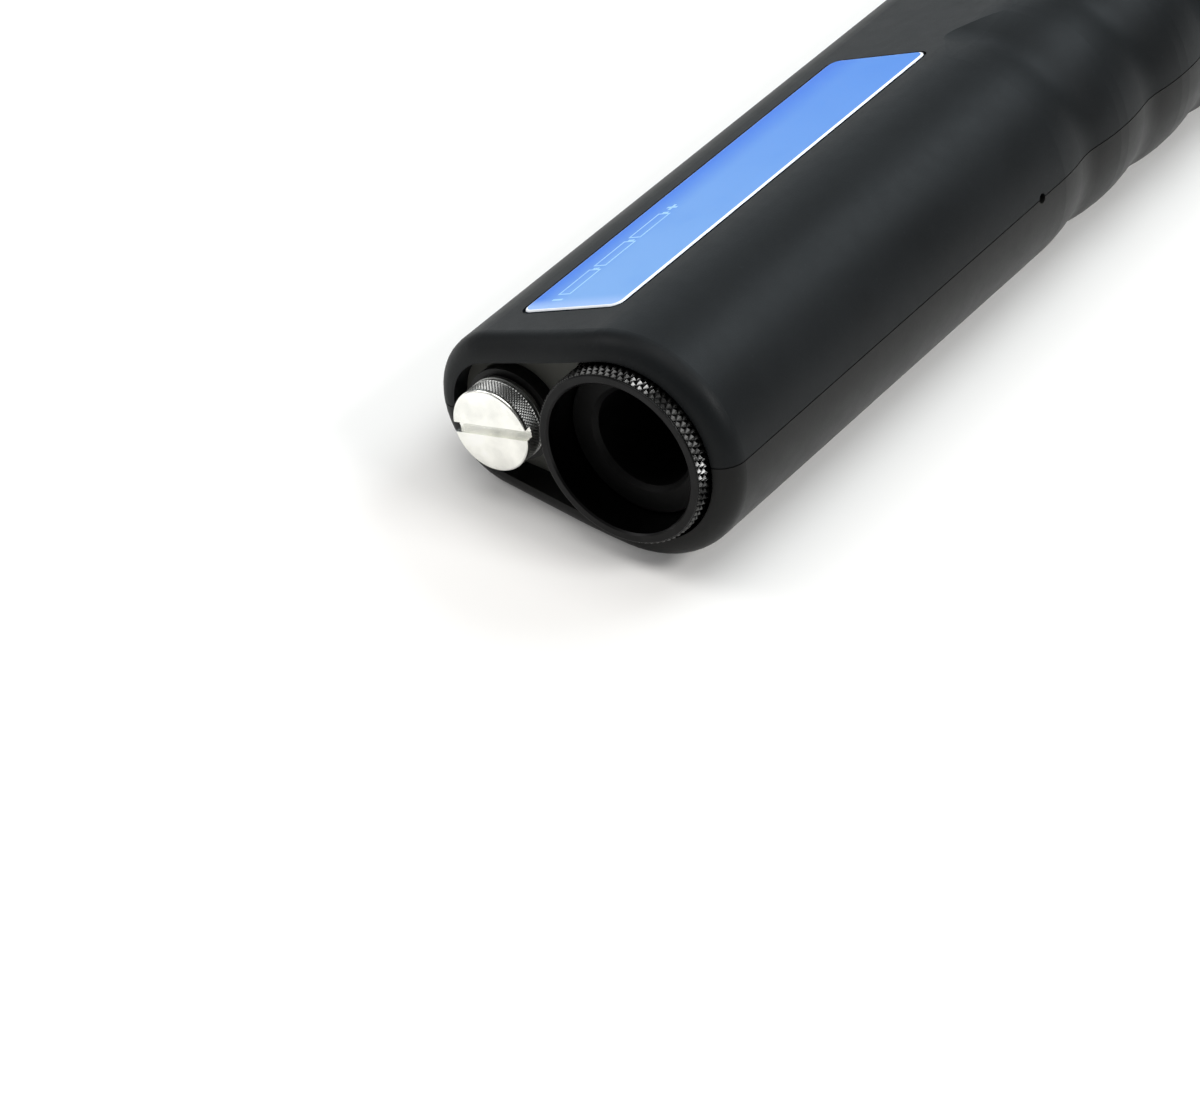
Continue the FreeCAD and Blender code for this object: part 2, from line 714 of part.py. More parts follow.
def light_button():
    """Round rubber button with a low dome and a flange inside the shell."""
    flange_top = -wall - button_flange_gap
    flange = Part.makeCylinder(button_r + button_flange_step, button_flange_length,
                               Vector(button_across, button_y, flange_top - button_flange_length))
    stem = Part.makeCylinder(button_r, button_proud - flange_top, Vector(button_across, button_y, flange_top))
    rim = [edge for edge in stem.Edges if edge.BoundBox.ZMin > button_proud - NEAR]
    return placed(stem.makeFillet(button_dome, rim).fuse(flange), UPPER_FLAT)


def battery_tube():
    """Tube for the cells with a threaded collar at the front and a floor at the rear."""
    return turned([
        (0, battery_tube_rear_y), (0, battery_tube_rear_y - battery_tube_floor),
        (cell_bore_r, battery_tube_rear_y - battery_tube_floor), (cell_bore_r, collar_rear_y),
        (collar_bore_r, collar_rear_y), (collar_bore_r, collar_y), (collar_r, collar_y),
        (collar_r, collar_rear_y), (battery_tube_r, collar_rear_y + collar_r - battery_tube_r),
        (battery_tube_r, battery_tube_rear_y)], battery_x)


def battery_cell(index):
    """One cell: can with a raised nub towards the rear."""
    y0 = cell_first_y + cell_length * index
    can_y = y0 + cell_length - cell_nub_length
    return turned([
        (0, y0), (cell_r - cell_chamfer, y0), (cell_r, y0 + cell_chamfer), (cell_r, can_y - cell_chamfer),
        (cell_r - cell_chamfer, can_y), (cell_nub_r, can_y), (cell_nub_r, y0 + cell_length),
        (0, y0 + cell_length)], battery_x)


def rear_contact():
    """Contact plate at the bottom of the battery tube."""
    return rod(cell_bore_r, cells_rear_y, cells_rear_y + rear_contact_thickness, battery_x)


def battery_cap():
    """Screw cap with a coin slot, a bevelled head and a hollow threaded shank."""
    bore = disc_r + disc_clearance
    web_y = cap_back_y + cap_web
    shank_end_y = cap_back_y + cap_shank_length
    cap = turned([
        (0, cap_face_y), (cap_head_r - cap_chamfer, cap_face_y), (cap_head_r, cap_face_y + cap_chamfer),
        (cap_head_r, cap_back_y - cap_chamfer), (cap_head_r - cap_chamfer, cap_back_y),
        (cap_shank_r, cap_back_y), (cap_shank_r, shank_end_y), (bore, shank_end_y), (bore, web_y),
        (disc_stem_r + disc_stem_play, web_y), (disc_stem_r + disc_stem_play, cap_back_y), (0, cap_back_y)],
        battery_x)
    slot = Part.makeBox(4 * cap_head_r, coin_slot_depth + OVER, coin_slot_width,
                        Vector(-2 * cap_head_r, cap_face_y - OVER, -coin_slot_width / 2))
    slot.rotate(Vector(0, 0, 0), Vector(0, 1, 0), -coin_slot_angle)
    slot.translate(Vector(battery_x, 0, 0))
    return cap.cut(slot)


def contact_disc():
    """Contact disc with a stem that turns in the cap's web."""
    return turned([
        (0, cap_back_y + disc_gap), (disc_stem_r, cap_back_y + disc_gap), (disc_stem_r, disc_y),
        (disc_r, disc_y), (disc_r, disc_y + disc_thickness), (0, disc_y + disc_thickness)], battery_x)


def contact_spring():
    """Coil spring between the disc and the first cell."""
    coil_r = disc_r - 2 * spring_wire_r
    start = disc_y + disc_thickness + spring_wire_r
    height = cell_first_y - spring_gap - spring_wire_r - start
    spine = Part.makeHelix(height / spring_turns, height, coil_r)
    corners = [Vector(coil_r + spring_wire_r * math.cos(math.radians(60 * i)), 0,
                      spring_wire_r * math.sin(math.radians(60 * i))) for i in range(6)]
    coil = Part.Wire(spine.Edges).makePipeShell([Part.makePolygon(corners + corners[:1])], True, True)
    coil.rotate(Vector(0, 0, 0), Vector(1, 0, 0), -90)
    coil.translate(Vector(battery_x, start, 0))
    return coil


def eyepiece_barrel():
    """Barrel that plugs into the optical tube, with a flange on the rear face and a neck for the eyecup."""
    flange_r = tube_r + barrel_flange_step
    field_rear_y = barrel_front_y + field_lens_thickness
    neck_y = rear_y + barrel_flange_length
    lens_y = neck_y + neck_length - eye_lens_thickness
    return turned([
        (barrel_bore_r, field_rear_y), (lens_seat_r, field_rear_y), (lens_seat_r, barrel_front_y),
        (tube_bore_r, barrel_front_y), (tube_bore_r, barrel_shoulder_y), (tube_r, barrel_shoulder_y),
        (tube_r, rear_y), (flange_r, rear_y), (flange_r, neck_y), (neck_r, neck_y),
        (neck_r, neck_y + neck_length), (lens_seat_r, neck_y + neck_length), (lens_seat_r, lens_y),
        (barrel_bore_r, lens_y)])


def field_lens():
    """Field lens at the front of the barrel."""
    return lens(lens_seat_r, barrel_front_y, field_lens_thickness, field_lens_sagitta, True)


def eye_lens():
    """Eye lens at the rear of the barrel, crown to the eye."""
    rear = rear_y + barrel_flange_length + neck_length
    return lens(lens_seat_r, rear - eye_lens_thickness, eye_lens_thickness, eye_lens_sagitta, False)


def eyecup():
    """Rubber cup on the barrel's neck, waisted and flared to a soft lip."""
    y0 = rear_y + barrel_flange_length
    y1 = whole_length
    waist_y = y0 + eyecup_length * eyecup_waist_share
    base_r = neck_r + eyecup_base_wall
    mouth_r = neck_r + eyecup_flare
    seat_y = y0 + neck_length
    lip = eyecup_wall / 2
    outer = Part.Arc(Vector(base_r, y0, 0), Vector(neck_r + eyecup_waist_wall, waist_y, 0),
                     Vector(mouth_r, y1 - lip, 0)).toShape()
    round_lip = Part.Arc(Vector(mouth_r, y1 - lip, 0), Vector(mouth_r - lip, y1, 0),
                         Vector(mouth_r - eyecup_wall, y1 - lip, 0)).toShape()
    corners = [Vector(mouth_r - eyecup_wall, y1 - lip, 0), Vector(neck_r, seat_y, 0), Vector(neck_r, y0, 0),
               Vector(base_r, y0, 0)]
    inside = [Part.makeLine(a, b) for a, b in zip(corners, corners[1:])]
    face = Part.Face(Part.Wire([outer, round_lip] + inside))
    return face.revolve(Vector(0, 0, 0), Vector(0, 1, 0), 360)


def main():
    """Build every piece, set it down on the lower flat and write it out."""
    blank = shell_blank()
    pieces = {
        "upper_shell": upper_shell(blank),
        "lower_shell": lower_shell(blank),
        "shell_screws": shell_screws(),
        "label_plate": label_plate(),
        "front_plate": front_plate(),
        "focus_ring": focus_ring(),
        "connector_adapter": connector_adapter(),
        "ferrule_sleeve": ferrule_sleeve(),
        "objective_carriage": objective_carriage(),
        "objective_front_lens": objective_front_lens(),
        "objective_rear_lens": objective_rear_lens(),
        "drive_pin": drive_pin(),
        "optical_tube": optical_tube(),
        "splitter_holder": splitter_holder(),
        "splitter_plate": splitter_blank(),
        "ir_filter": ir_filter(),
        "lamp_board": lamp_board(),
        "lamp_led": lamp_led(),
        "push_switch": push_switch(),
        "light_button": light_button(),
        "battery_tube": battery_tube(),
        "rear_contact": rear_contact(),
        "battery_cap": battery_cap(),
        "contact_disc": contact_disc(),
        "contact_spring": contact_spring(),
        "eyepiece_barrel": eyepiece_barrel(),
        "field_lens": field_lens(),
        "eye_lens": eye_lens(),
        "eyecup": eyecup(),
    }
    for index, place in enumerate(CELL_PLACES):
        pieces["battery_cell_" + place] = battery_cell(index)
    os.makedirs("parts", exist_ok=True)
    for name, shape in pieces.items():
        placed(shape, SET_DOWN).exportStep("parts/" + name + ".step")


main()
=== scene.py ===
"""Looks of a hand-held fibre inspection microscope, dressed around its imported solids.

The sizes in the classes are millimetres and the meshes are metres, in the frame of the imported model: +Z up,
+Y from the focus ring to the eyecup, +X from the battery side to the optics side. Turned pieces are
described by a radius and a distance along their axis, measured from the lip of the focus ring.
"""
from __future__ import annotations

import json
import logging
import math
from dataclasses import dataclass, field
from enum import Enum, IntEnum
from functools import reduce
from typing import Any, Callable, Optional, Union

import bmesh
import bpy
import numpy as np
from mathutils import Matrix

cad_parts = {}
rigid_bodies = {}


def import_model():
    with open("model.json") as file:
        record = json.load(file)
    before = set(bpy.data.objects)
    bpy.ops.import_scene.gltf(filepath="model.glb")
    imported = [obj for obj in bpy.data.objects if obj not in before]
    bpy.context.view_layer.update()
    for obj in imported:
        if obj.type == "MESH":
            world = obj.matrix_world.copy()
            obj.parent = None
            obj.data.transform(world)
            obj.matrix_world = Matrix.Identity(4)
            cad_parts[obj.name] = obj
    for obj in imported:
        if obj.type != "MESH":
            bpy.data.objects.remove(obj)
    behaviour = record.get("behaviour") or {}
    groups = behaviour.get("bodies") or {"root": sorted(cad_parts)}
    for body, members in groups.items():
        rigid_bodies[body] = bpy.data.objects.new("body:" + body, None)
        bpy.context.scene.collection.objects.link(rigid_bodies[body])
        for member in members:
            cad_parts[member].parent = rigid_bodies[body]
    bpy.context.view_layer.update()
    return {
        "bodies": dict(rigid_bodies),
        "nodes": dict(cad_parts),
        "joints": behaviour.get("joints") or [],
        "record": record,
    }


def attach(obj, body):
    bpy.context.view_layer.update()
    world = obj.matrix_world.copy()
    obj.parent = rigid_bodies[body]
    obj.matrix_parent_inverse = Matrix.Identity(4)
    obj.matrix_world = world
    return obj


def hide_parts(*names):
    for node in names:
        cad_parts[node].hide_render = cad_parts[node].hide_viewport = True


LOG = logging.getLogger("microscope")
MM = 0.001
QUARTER = math.pi / 2
# The lip of the focus ring, the tilt of the parting plane, and the corner and tilt of the upper flat
LIP_Y = -115.7
TILT = math.radians(12.763)
FLAT_CORNER = (-21.593, LIP_Y, 27.204)
FLAT_TILT = 2.0 * TILT
# Where a soft step over a value between 0 and 1 starts and ends
SOFT = (0.3, 0.7)

Array = np.ndarray
Pair = tuple[float, float]
Triple = tuple[float, float, float]
Colour = Triple
Place = Triple
Value = Union["Wire", float, int, tuple[float, ...]]


class Side(Enum):
    """Which lobe of the section a turned piece sits in, by the x and z of its axis in millimetres."""

    OPTICS = (9.731, 20.0)
    BATTERY = (-15.431, 14.3)


class Zone(IntEnum):
    """What a row of a turned profile carries: nothing, the knurl, a groove or thread, or painted shade alone.
    """

    PLAIN = 0
    KNURL = 1
    CUT = 2
    SOILED = 3


def maths(operation: str, swapped: bool = False) -> Callable[..., Wire]:
    """Method of a wire that adds a Math node.

    Args:
        operation: the node's operation.
        swapped: whether the wire is the second value, as the mask is in 1 - mask.

    Returns:
        The method, which takes the other values.
    """
    def method(self: Wire, *others: Value) -> Wire:
        """Add the node and give its output."""
        values = (*others, self) if swapped else (self, *others)
        return self.graph.node("ShaderNodeMath", {"operation": operation}, dict(enumerate(values)))

    return method


class Wire:
    """A node's output that takes part in Python expressions on values.

    Attributes:
        graph: the material graph that the output belongs to.
        socket: the output socket itself.
    """

    __add__ = __radd__ = maths("ADD")
    __sub__ = maths("SUBTRACT")
    __rsub__ = maths("SUBTRACT", swapped=True)
    __mul__ = __rmul__ = maths("MULTIPLY")
    __truediv__ = maths("DIVIDE")
    __pow__ = maths("POWER")
    __abs__ = maths("ABSOLUTE")
    least = maths("MINIMUM")
    most = maths("MAXIMUM")
    fraction = maths("FRACT")
    sine = maths("SINE")

    def __init__(self, graph: Graph, socket: bpy.types.NodeSocket) -> None:
        """Keep the graph and the socket."""
        self.graph = graph
        self.socket = socket

    def ramp(self, low: float, high: float) -> Wire:
        """Smooth step from 0 at low to 1 at high; low may be the larger of the two."""
        return self.graph.node("ShaderNodeMapRange", {"interpolation_type": "SMOOTHSTEP"},
                               {0: self, 1: low, 2: high, 3: 0.0, 4: 1.0})

    def other(self, output: Union[str, int]) -> Wire:
        """Another output of the same node."""
        return Wire(self.graph, self.socket.node.outputs[output])


class Graph:
    """Node tree of one material, written as expressions."""

    def __init__(self, name: str) -> None:
        """Make an empty material.

        Args:
            name: the material's name.
        """
        self.material = bpy.data.materials.new(name)
        self.material.use_nodes = True
        self.tree = self.material.node_tree
        self.tree.nodes.clear()

    def node(self, kind: str, settings: Optional[dict[str, Any]] = None,
             sockets: Optional[dict[Union[str, int], Value]] = None, output: Union[str, int] = 0) -> Wire:
        """Add a node.

        Args:
            kind: the node's type.
            settings: the node's own settings, set first.
            sockets: values or links for its inputs, by name or number.
            output: the output that is wanted.

        Returns:
            The output, ready for expressions.
        """
        node = self.tree.nodes.new(kind)
        for key, value in (settings or {}).items():
            setattr(node, key, value)
        for key, value in (sockets or {}).items():
            socket = node.inputs[key]
            if isinstance(value, Wire):
                self.tree.links.new(value.socket, socket)
            elif socket.type == "RGBA" and len(value) == 3:
                socket.default_value = (*value, 1.0)
            else:
                socket.default_value = value
        return Wire(self, node.outputs[output])

    def place(self) -> Wire:
        """Object coordinates, in metres of the shared frame."""
        return self.node("ShaderNodeTexCoord", output="Object")

    def local(self, origin: Place, turn: Place) -> Wire:
        """Object coordinates seen from a frame with an origin in metres and X, Y and Z angles in radians."""
        return self.node("ShaderNodeMapping", {"vector_type": "TEXTURE"},
                         {"Vector": self.place(), "Location": origin, "Rotation": turn})

    def flag(self, name: str) -> Wire:
        """A value that the mesh carries at its points."""
        return self.node("ShaderNodeAttribute", {"attribute_name": name}, output="Fac")

    def split(self, vector: Wire) -> tuple[Wire, Wire, Wire]:
        """X, Y and Z of a vector."""
        x = self.node("ShaderNodeSeparateXYZ", sockets={0: vector})
        return x, x.other(1), x.other(2)

    def noise(self, vector: Wire, size_mm: float, detail: float = 2.0, roughness: float = 0.5) -> Wire:
        """Soft noise between 0 and 1 over metres, by the size, octaves and fine weight of its features."""
        return self.node("ShaderNodeTexNoise", sockets={
            "Vector": vector, "Scale": 1.0 / (size_mm * MM), "Detail": detail, "Roughness": roughness})

    def mix(self, share: Value, first: Value, second: Value) -> Wire:
        """Colour between two colours by a share of the second."""
        return self.node("ShaderNodeMix", {"data_type": "RGBA"}, {0: share, 6: first, 7: second}, 2)

    def bump(self, height: Wire, depth_mm: float) -> Wire:
        """Normal from a height between 0 and 1 over a relief of the given depth."""
        return self.node("ShaderNodeBump", sockets={
            "Height": height, "Distance": depth_mm * MM, "Strength": 1.0})

    def around(self, side: Side) -> Wire:
        """Distance from a lobe's axis in metres."""
        x, _, z = self.split(self.place())
        dx = x - side.value[0] * MM
        dz = z - side.value[1] * MM
        return (dx * dx + dz * dz) ** 0.5

    def surface(self, sockets: dict[Union[str, int], Value]) -> bpy.types.Material:
        """Close the graph with a Principled shader.

        Args:
            sockets: values or links for the shader's inputs.

        Returns:
            The finished material.
        """
        shader = self.node("ShaderNodeBsdfPrincipled", sockets=sockets)
        self.node_output(shader)
        return self.material

    def node_output(self, shader: Wire) -> None:
        """Link a shader to the material's surface."""
        end = self.tree.nodes.new("ShaderNodeOutputMaterial")
        self.tree.links.new(shader.socket, end.inputs["Surface"])


@dataclass(frozen=True)
class Finish:
    """A surface finish.

    Attributes:
        name: name of its material.
        tone: base colour, linear.
        rough: middle roughness.
    """

    name: str
    tone: Colour
    rough: float

    def shade(self, share: float) -> Colour:
        """The tone made lighter or darker by a factor."""
        return tuple(share * part for part in self.tone)

    def material(self) -> bpy.types.Material:
        """Material of this finish, made once."""
        found = bpy.data.materials.get(self.name)
        return found if found else self.build(Graph(self.name))

    def build(self, graph: Graph) -> bpy.types.Material:
        """Fill the graph; each finish has its own way.

        Args:
            graph: the empty graph of the finish's material.

        Returns:
            The finished material.
        """
        raise NotImplementedError

    def dress(self, piece: bpy.types.Object) -> None:
        """Put this finish on every slot of a piece.

        Args:
            piece: the object to dress.
        """
        material = self.material()
        if not piece.material_slots:
            piece.data.materials.append(material)
        for slot in piece.material_slots:
            slot.material = material


@dataclass(frozen=True)
class MouldedCase(Finish):
    """Dark moulded plastic with a fine spark-eroded grain and faint handling marks.

    Attributes:
        grain_mm: size of the grain.
        grain_depth_mm: depth of the grain.
        cloud_mm: size of the slow changes in tone.
        shine: level of the surface's reflection, where 0.5 is common plastic.
    """

    grain_mm: float = 0.32
    grain_depth_mm: float = 0.012
    cloud_mm: float = 16.0
    shine: float = 0.26

    def build(self, graph: Graph) -> bpy.types.Material:
        """Tone and roughness follow slow clouds; the grain is relief."""
        place = graph.place()
        cloud = graph.noise(place, self.cloud_mm, 3.0)
        smear = graph.noise(place, self.cloud_mm / 5.0, 4.0, 0.6)
        grain = graph.noise(place, self.grain_mm, 2.0, 0.6)
        speck = graph.noise(place, self.grain_mm * 3.0, 1.0).ramp(0.7, 0.78)
        tone = graph.mix(cloud.ramp(*SOFT), self.shade(0.86), self.shade(1.14))
        tone = graph.mix(speck * 0.25, tone, self.shade(2.2))
        return graph.surface({
            "Base Color": tone,
            "Roughness": self.rough + (cloud - 0.5) * 0.12 + (smear - 0.5) * 0.1 + (grain - 0.5) * 0.08,
            "Specular IOR Level": self.shine,
            "Normal": graph.bump(grain, self.grain_depth_mm)})


@dataclass(frozen=True)
class TurnedMetal(Finish):
    """Metal turned on a lathe: fine rings round the axis, with bright wear on crests where a piece has them.

    Attributes:
        side: lobe whose axis it was turned on.
        metal: metallic share of the clean finish.
        ring_mm: pitch of the turning marks.
        ring_depth_mm: depth of the turning marks.
        worn: colour of the bare metal under the finish.
        wear: share of the wear on crests.
        bared: heights of the knurl at which wear starts and is full.
        shine: level of the surface's reflection.
        painted_shade: colour painted into the grooves of a knurl and onto plain rows in shade, where a piece
            has them, standing in for shade there.
    """

    side: Side = Side.OPTICS
    metal: float = 0.0
    ring_mm: float = 0.12
    ring_depth_mm: float = 0.002
    worn: Colour = (0.6, 0.6, 0.58)
    wear: float = 0.0
    bared: Pair = (0.62, 1.0)
    shine: float = 0.5
    painted_shade: Optional[Colour] = None

    def build(self, graph: Graph) -> bpy.types.Material:
        """Rings are noise on radius and distance along the axis; wear and the painted shade follow the
        knurl's values.
        """
        place = graph.place()
        radius = graph.around(self.side)
        along = graph.split(place)[1]
        spun = graph.node("ShaderNodeCombineXYZ", sockets={0: radius, 1: along})
        rings = graph.noise(spun, self.ring_mm, 2.0, 0.7)
        cloud = graph.noise(place, 4.0, 3.0)
        tone = graph.mix(cloud.ramp(*SOFT), self.shade(0.88), self.shade(1.1))
        rough = self.rough + (rings - 0.5) * 0.12 + (cloud - 0.5) * 0.08
        if self.wear:
            crest = graph.flag("crest")
            scuff = graph.noise(place, 0.9, 3.0, 0.7).ramp(0.35, 0.7)
            bare = crest.ramp(*self.bared) * (0.6 + scuff * 0.4) * self.wear
            tone = graph.mix(bare, tone, self.worn)
            rough = rough - bare * 0.05
        # Painted shade: where the piece's groove value is high, the tone is darkened towards the painted
        # shade colour
        if self.painted_shade:
            groove = graph.flag("groove")
            tone = graph.mix(groove.ramp(0.0, 1.0), tone, self.painted_shade)
            rough = rough + groove * 0.15
        return graph.surface({
            "Base Color": tone, "Metallic": self.metal, "Roughness": rough, "Specular IOR Level": self.shine,
            "Normal": graph.bump(rings, self.ring_depth_mm)})


@dataclass(frozen=True)
class PlatedMetal(Finish):
    """Plated or drawn metal with fine scratches and a slight tarnish.

    Attributes:
        tarnish: colour of the tarnish.
    """

    tarnish: Colour = (0.2, 0.18, 0.15)

    def build(self, graph: Graph) -> bpy.types.Material:
        """Scratches are noise stretched along Y; tarnish lies in slow clouds."""
        place = graph.place()
        drawn = graph.node("ShaderNodeMapping", {}, {"Vector": place, "Scale": (1.0, 0.06, 1.0)})
        scratch = graph.noise(drawn, 0.15, 3.0, 0.7)
        cloud = graph.noise(place, 3.0, 4.0, 0.6)
        return graph.surface({
            "Base Color": graph.mix(cloud.ramp(0.55, 0.85) * 0.5, self.tone, self.tarnish),
            "Metallic": 1.0,
            "Roughness": self.rough + (scratch - 0.5) * 0.2 + cloud.ramp(0.5, 0.8) * 0.12,
            "Normal": graph.bump(scratch, 0.003)})


@dataclass(frozen=True)
class SoftRubber(Finish):
    """Matt rubber with a fine skin and a trace of dust.

    Attributes:
        dust: colour of the dust.
    """

    dust: Colour = (0.05, 0.049, 0.046)

    def build(self, graph: Graph) -> bpy.types.Material:
        """Two sizes of noise make the skin; dust lies where the coarse one is high."""
        place = graph.place()
        skin = graph.noise(place, 0.22, 3.0, 0.65)
        cloud = graph.noise(place, 7.0, 4.0, 0.6)
        return graph.surface({
            "Base Color": graph.mix(cloud.ramp(0.45, 0.85) * 0.3, self.tone, self.dust),
            "Roughness": self.rough + (skin - 0.5) * 0.14 + (cloud - 0.5) * 0.1,
            "Normal": graph.bump(skin, 0.014),
            "Sheen Weight": 0.03, "Sheen Roughness": 0.4})


@dataclass(frozen=True)
class PrintedFilm(Finish):
    """Glossy printed film: a blue field with a row of cell outlines and their poles, and a pale edge painted
    as a highlight.

    The field is painted paler away from the battery side as a sheen, deeper towards its rear as shade, and
    palest at its front edge as a highlight. Places are millimetres across and along the upper flat.

    Attributes:
        painted_sheen: colour of the field away from the battery side, at the front, painted paler as a sheen.
        painted_rear_shade: the same at the rear, painted deeper as shade.
        front: colour of the field at its front edge, painted palest as a highlight.
        ink: colour of the print.
        cut: near-white colour painted as a highlight on the film's rounded edge, on the optics side and at
            the front.
        shine: level of the surface's reflection.
        painted_sheen_u: distances across from the row between which the painted sheen comes in.
        painted_rear_shade_y: distances along between which the painted shade deepens the field.
        front_y: distances along between which the field comes to the painted highlight of its front edge.
        row_u: middle of the row of cells across the flat.
        row_y: front of the first cell along the flat.
        cells: number of cells.
        cell: length and half width of a cell outline.
        gap: distance between outlines.
        nub: a cell's pole, by its distance past the outline, half width and half length.
        stroke: half length and half width of the strokes of the minus and the plus.
        sign_gap: distances of the minus and the plus from the ends of the row.
        line: distances from a line's middle at which it is bare and full.
    """

    painted_sheen: Colour = (0.165, 0.39, 0.80)
    painted_rear_shade: Colour = (0.040, 0.235, 0.76)
    front: Colour = (0.30, 0.49, 0.88)
    ink: Colour = (0.36, 0.66, 0.98)
    cut: Colour = (0.90, 0.93, 0.97)
    shine: float = 0.25
    painted_sheen_u: Pair = (-6.0, 3.5)
    painted_rear_shade_y: Pair = (0.0, 125.0)
    front_y: Pair = (18.8, 14.8)
    row_u: float = 8.3
    row_y: float = 19.7
    cells: int = 3
    cell: Pair = (8.6, 1.15)
    gap: float = 1.5
    nub: Triple = (0.3, 0.46, 0.25)
    stroke: Pair = (0.9, 0.12)
    sign_gap: Pair = (2.0, 2.4)
    line: Pair = (0.21, 0.13)

    def box(self, across: Wire, along: Wire, half_across: float, half_along: float) -> Wire:
        """Distance to a box, less than 0 inside it: the larger of the distances past its pairs of sides."""
        return (abs(across) - half_across).most(abs(along) - half_along)

    def marks(self, across: Wire, along: Wire) -> Wire:
        """Distance to the nearest printed line; an outline is where the distance to its box is 0.

        Args:
            across: distance across from the middle of the row.
            along: distance along the flat.

        Returns:
            The distance in millimetres.
        """
        length, half = self.cell
        pitch = length + self.gap
        past, nub_half, nub_end = self.nub
        long, thin = self.stroke
        minus = along - (self.row_y - self.sign_gap[0])
        plus = along - (self.row_y + self.cells * pitch - self.gap + self.sign_gap[1])
        drawn = [self.box(across, minus, long, thin), self.box(across, plus, long, thin),
                 self.box(across, plus, thin, long)]
        for number in range(self.cells):
            middle = self.row_y + number * pitch + length / 2
            drawn.append(abs(self.box(across, along - middle, half, length / 2)))
            drawn.append(self.box(across, along - (middle + length / 2 + past), nub_half, nub_end))
        return reduce(Wire.least, drawn)

    def build(self, graph: Graph) -> bpy.types.Material:
        """The field and the print lie in the plane of the film; the painted highlight of the edge and the
        painted shade of the wall follow the mesh's values.
        """
        origin = tuple(part * MM for part in FLAT_CORNER)
        u, y, _ = graph.split(graph.local(origin, (0.0, -FLAT_TILT, 0.0)))
        across = u * (1.0 / MM) - self.row_u
        along = y * (1.0 / MM)
        print_share = self.marks(across, along).ramp(*self.line)
        place = graph.place()
        cloud = graph.noise(place, 9.0, 3.0)
        fibre = graph.noise(place, 0.25, 2.0)
        # Painted sheen paler away from the battery side, and painted shade deeper towards the rear
        painted_sheen = graph.mix(along.ramp(*self.painted_rear_shade_y), self.painted_sheen, self.painted_rear_shade)
        tone = graph.mix(across.ramp(*self.painted_sheen_u) * (0.85 + cloud * 0.3), self.tone, painted_sheen)
        # Painted highlight: the field palest towards its front edge
        tone = graph.mix(along.ramp(*self.front_y), tone, self.front)
        tone = graph.mix(print_share * 0.8, tone, self.ink)
        # Painted highlight: near white on the rounded edge where the mesh marks it, on the optics side and
        # front only
        tone = graph.mix(graph.flag("edge").ramp(*SOFT), tone, self.cut)
        # Painted shade: the foot of the film's wall nearly black, for the shade in the gap round it
        tone = graph.mix(graph.flag("side").ramp(*SOFT), tone, self.shade(0.02))
        return graph.surface({
            "Base Color": tone,
            "Roughness": self.rough + (cloud - 0.5) * 0.1 + (fibre - 0.5) * 0.04 + print_share * 0.08,
            "Specular IOR Level": self.shine,
            "Normal": graph.bump(fibre, 0.002)})


@dataclass(frozen=True)
class OpticGlass(Finish):
    """Clear glass with a thin coating and the slightest dust.

    Attributes:
        film_nm: thickness of the coating.
        index: refractive index.
    """

    film_nm: float = 112.0
    index: float = 1.52

    def build(self, graph: Graph) -> bpy.types.Material:
        """Dust changes only the roughness."""
        dust = graph.noise(graph.place(), 0.6, 3.0, 0.6).ramp(0.66, 0.85)
        return graph.surface({
            "Base Color": graph.mix(dust * 0.05, self.tone, self.shade(0.9)),
            "Roughness": self.rough + dust * 0.03,
            "IOR": self.index, "Transmission Weight": 1.0,
            "Thin Film Thickness": self.film_nm, "Thin Film IOR": 1.38})


@dataclass(frozen=True)
class CircuitBoard(Finish):
    """Solder mask over copper tracks, with bare pads.

    Attributes:
        copper: colour of the covered tracks.
        pad: colour of the bare pads.
        track_rate: radians of the tracks' wave to a metre.
        pad_rate: pads to a metre.
    """

    copper: Colour = (0.03, 0.16, 0.05)
    pad: Colour = (0.72, 0.68, 0.6)
    track_rate: float = 2400.0
    pad_rate: float = 420.0

    def build(self, graph: Graph) -> bpy.types.Material:
        """Tracks are bands of a warped wave along Y; pads are the middles of a cell pattern."""
        place = graph.place()
        x = graph.split(place)[0]
        bend = graph.noise(place, 14.0, 0.0)
        track = (x * self.track_rate + bend * 9.0).sine().ramp(0.55, 0.7)
        dots = graph.node("ShaderNodeTexVoronoi", {}, {
            "Vector": place, "Scale": self.pad_rate, "Randomness": 0.35})
        pads = dots.ramp(0.2, 0.16)
        weave = graph.noise(place, 0.3, 2.0)
        tone = graph.mix(track, self.tone, self.copper)
        return graph.surface({
            "Base Color": graph.mix(pads, tone, self.pad),
            "Metallic": pads,
            "Roughness": self.rough + (weave - 0.5) * 0.1 - pads * 0.08,
            "Normal": graph.bump(track * 0.6 + pads * 0.4 + weave * 0.1, 0.03)})


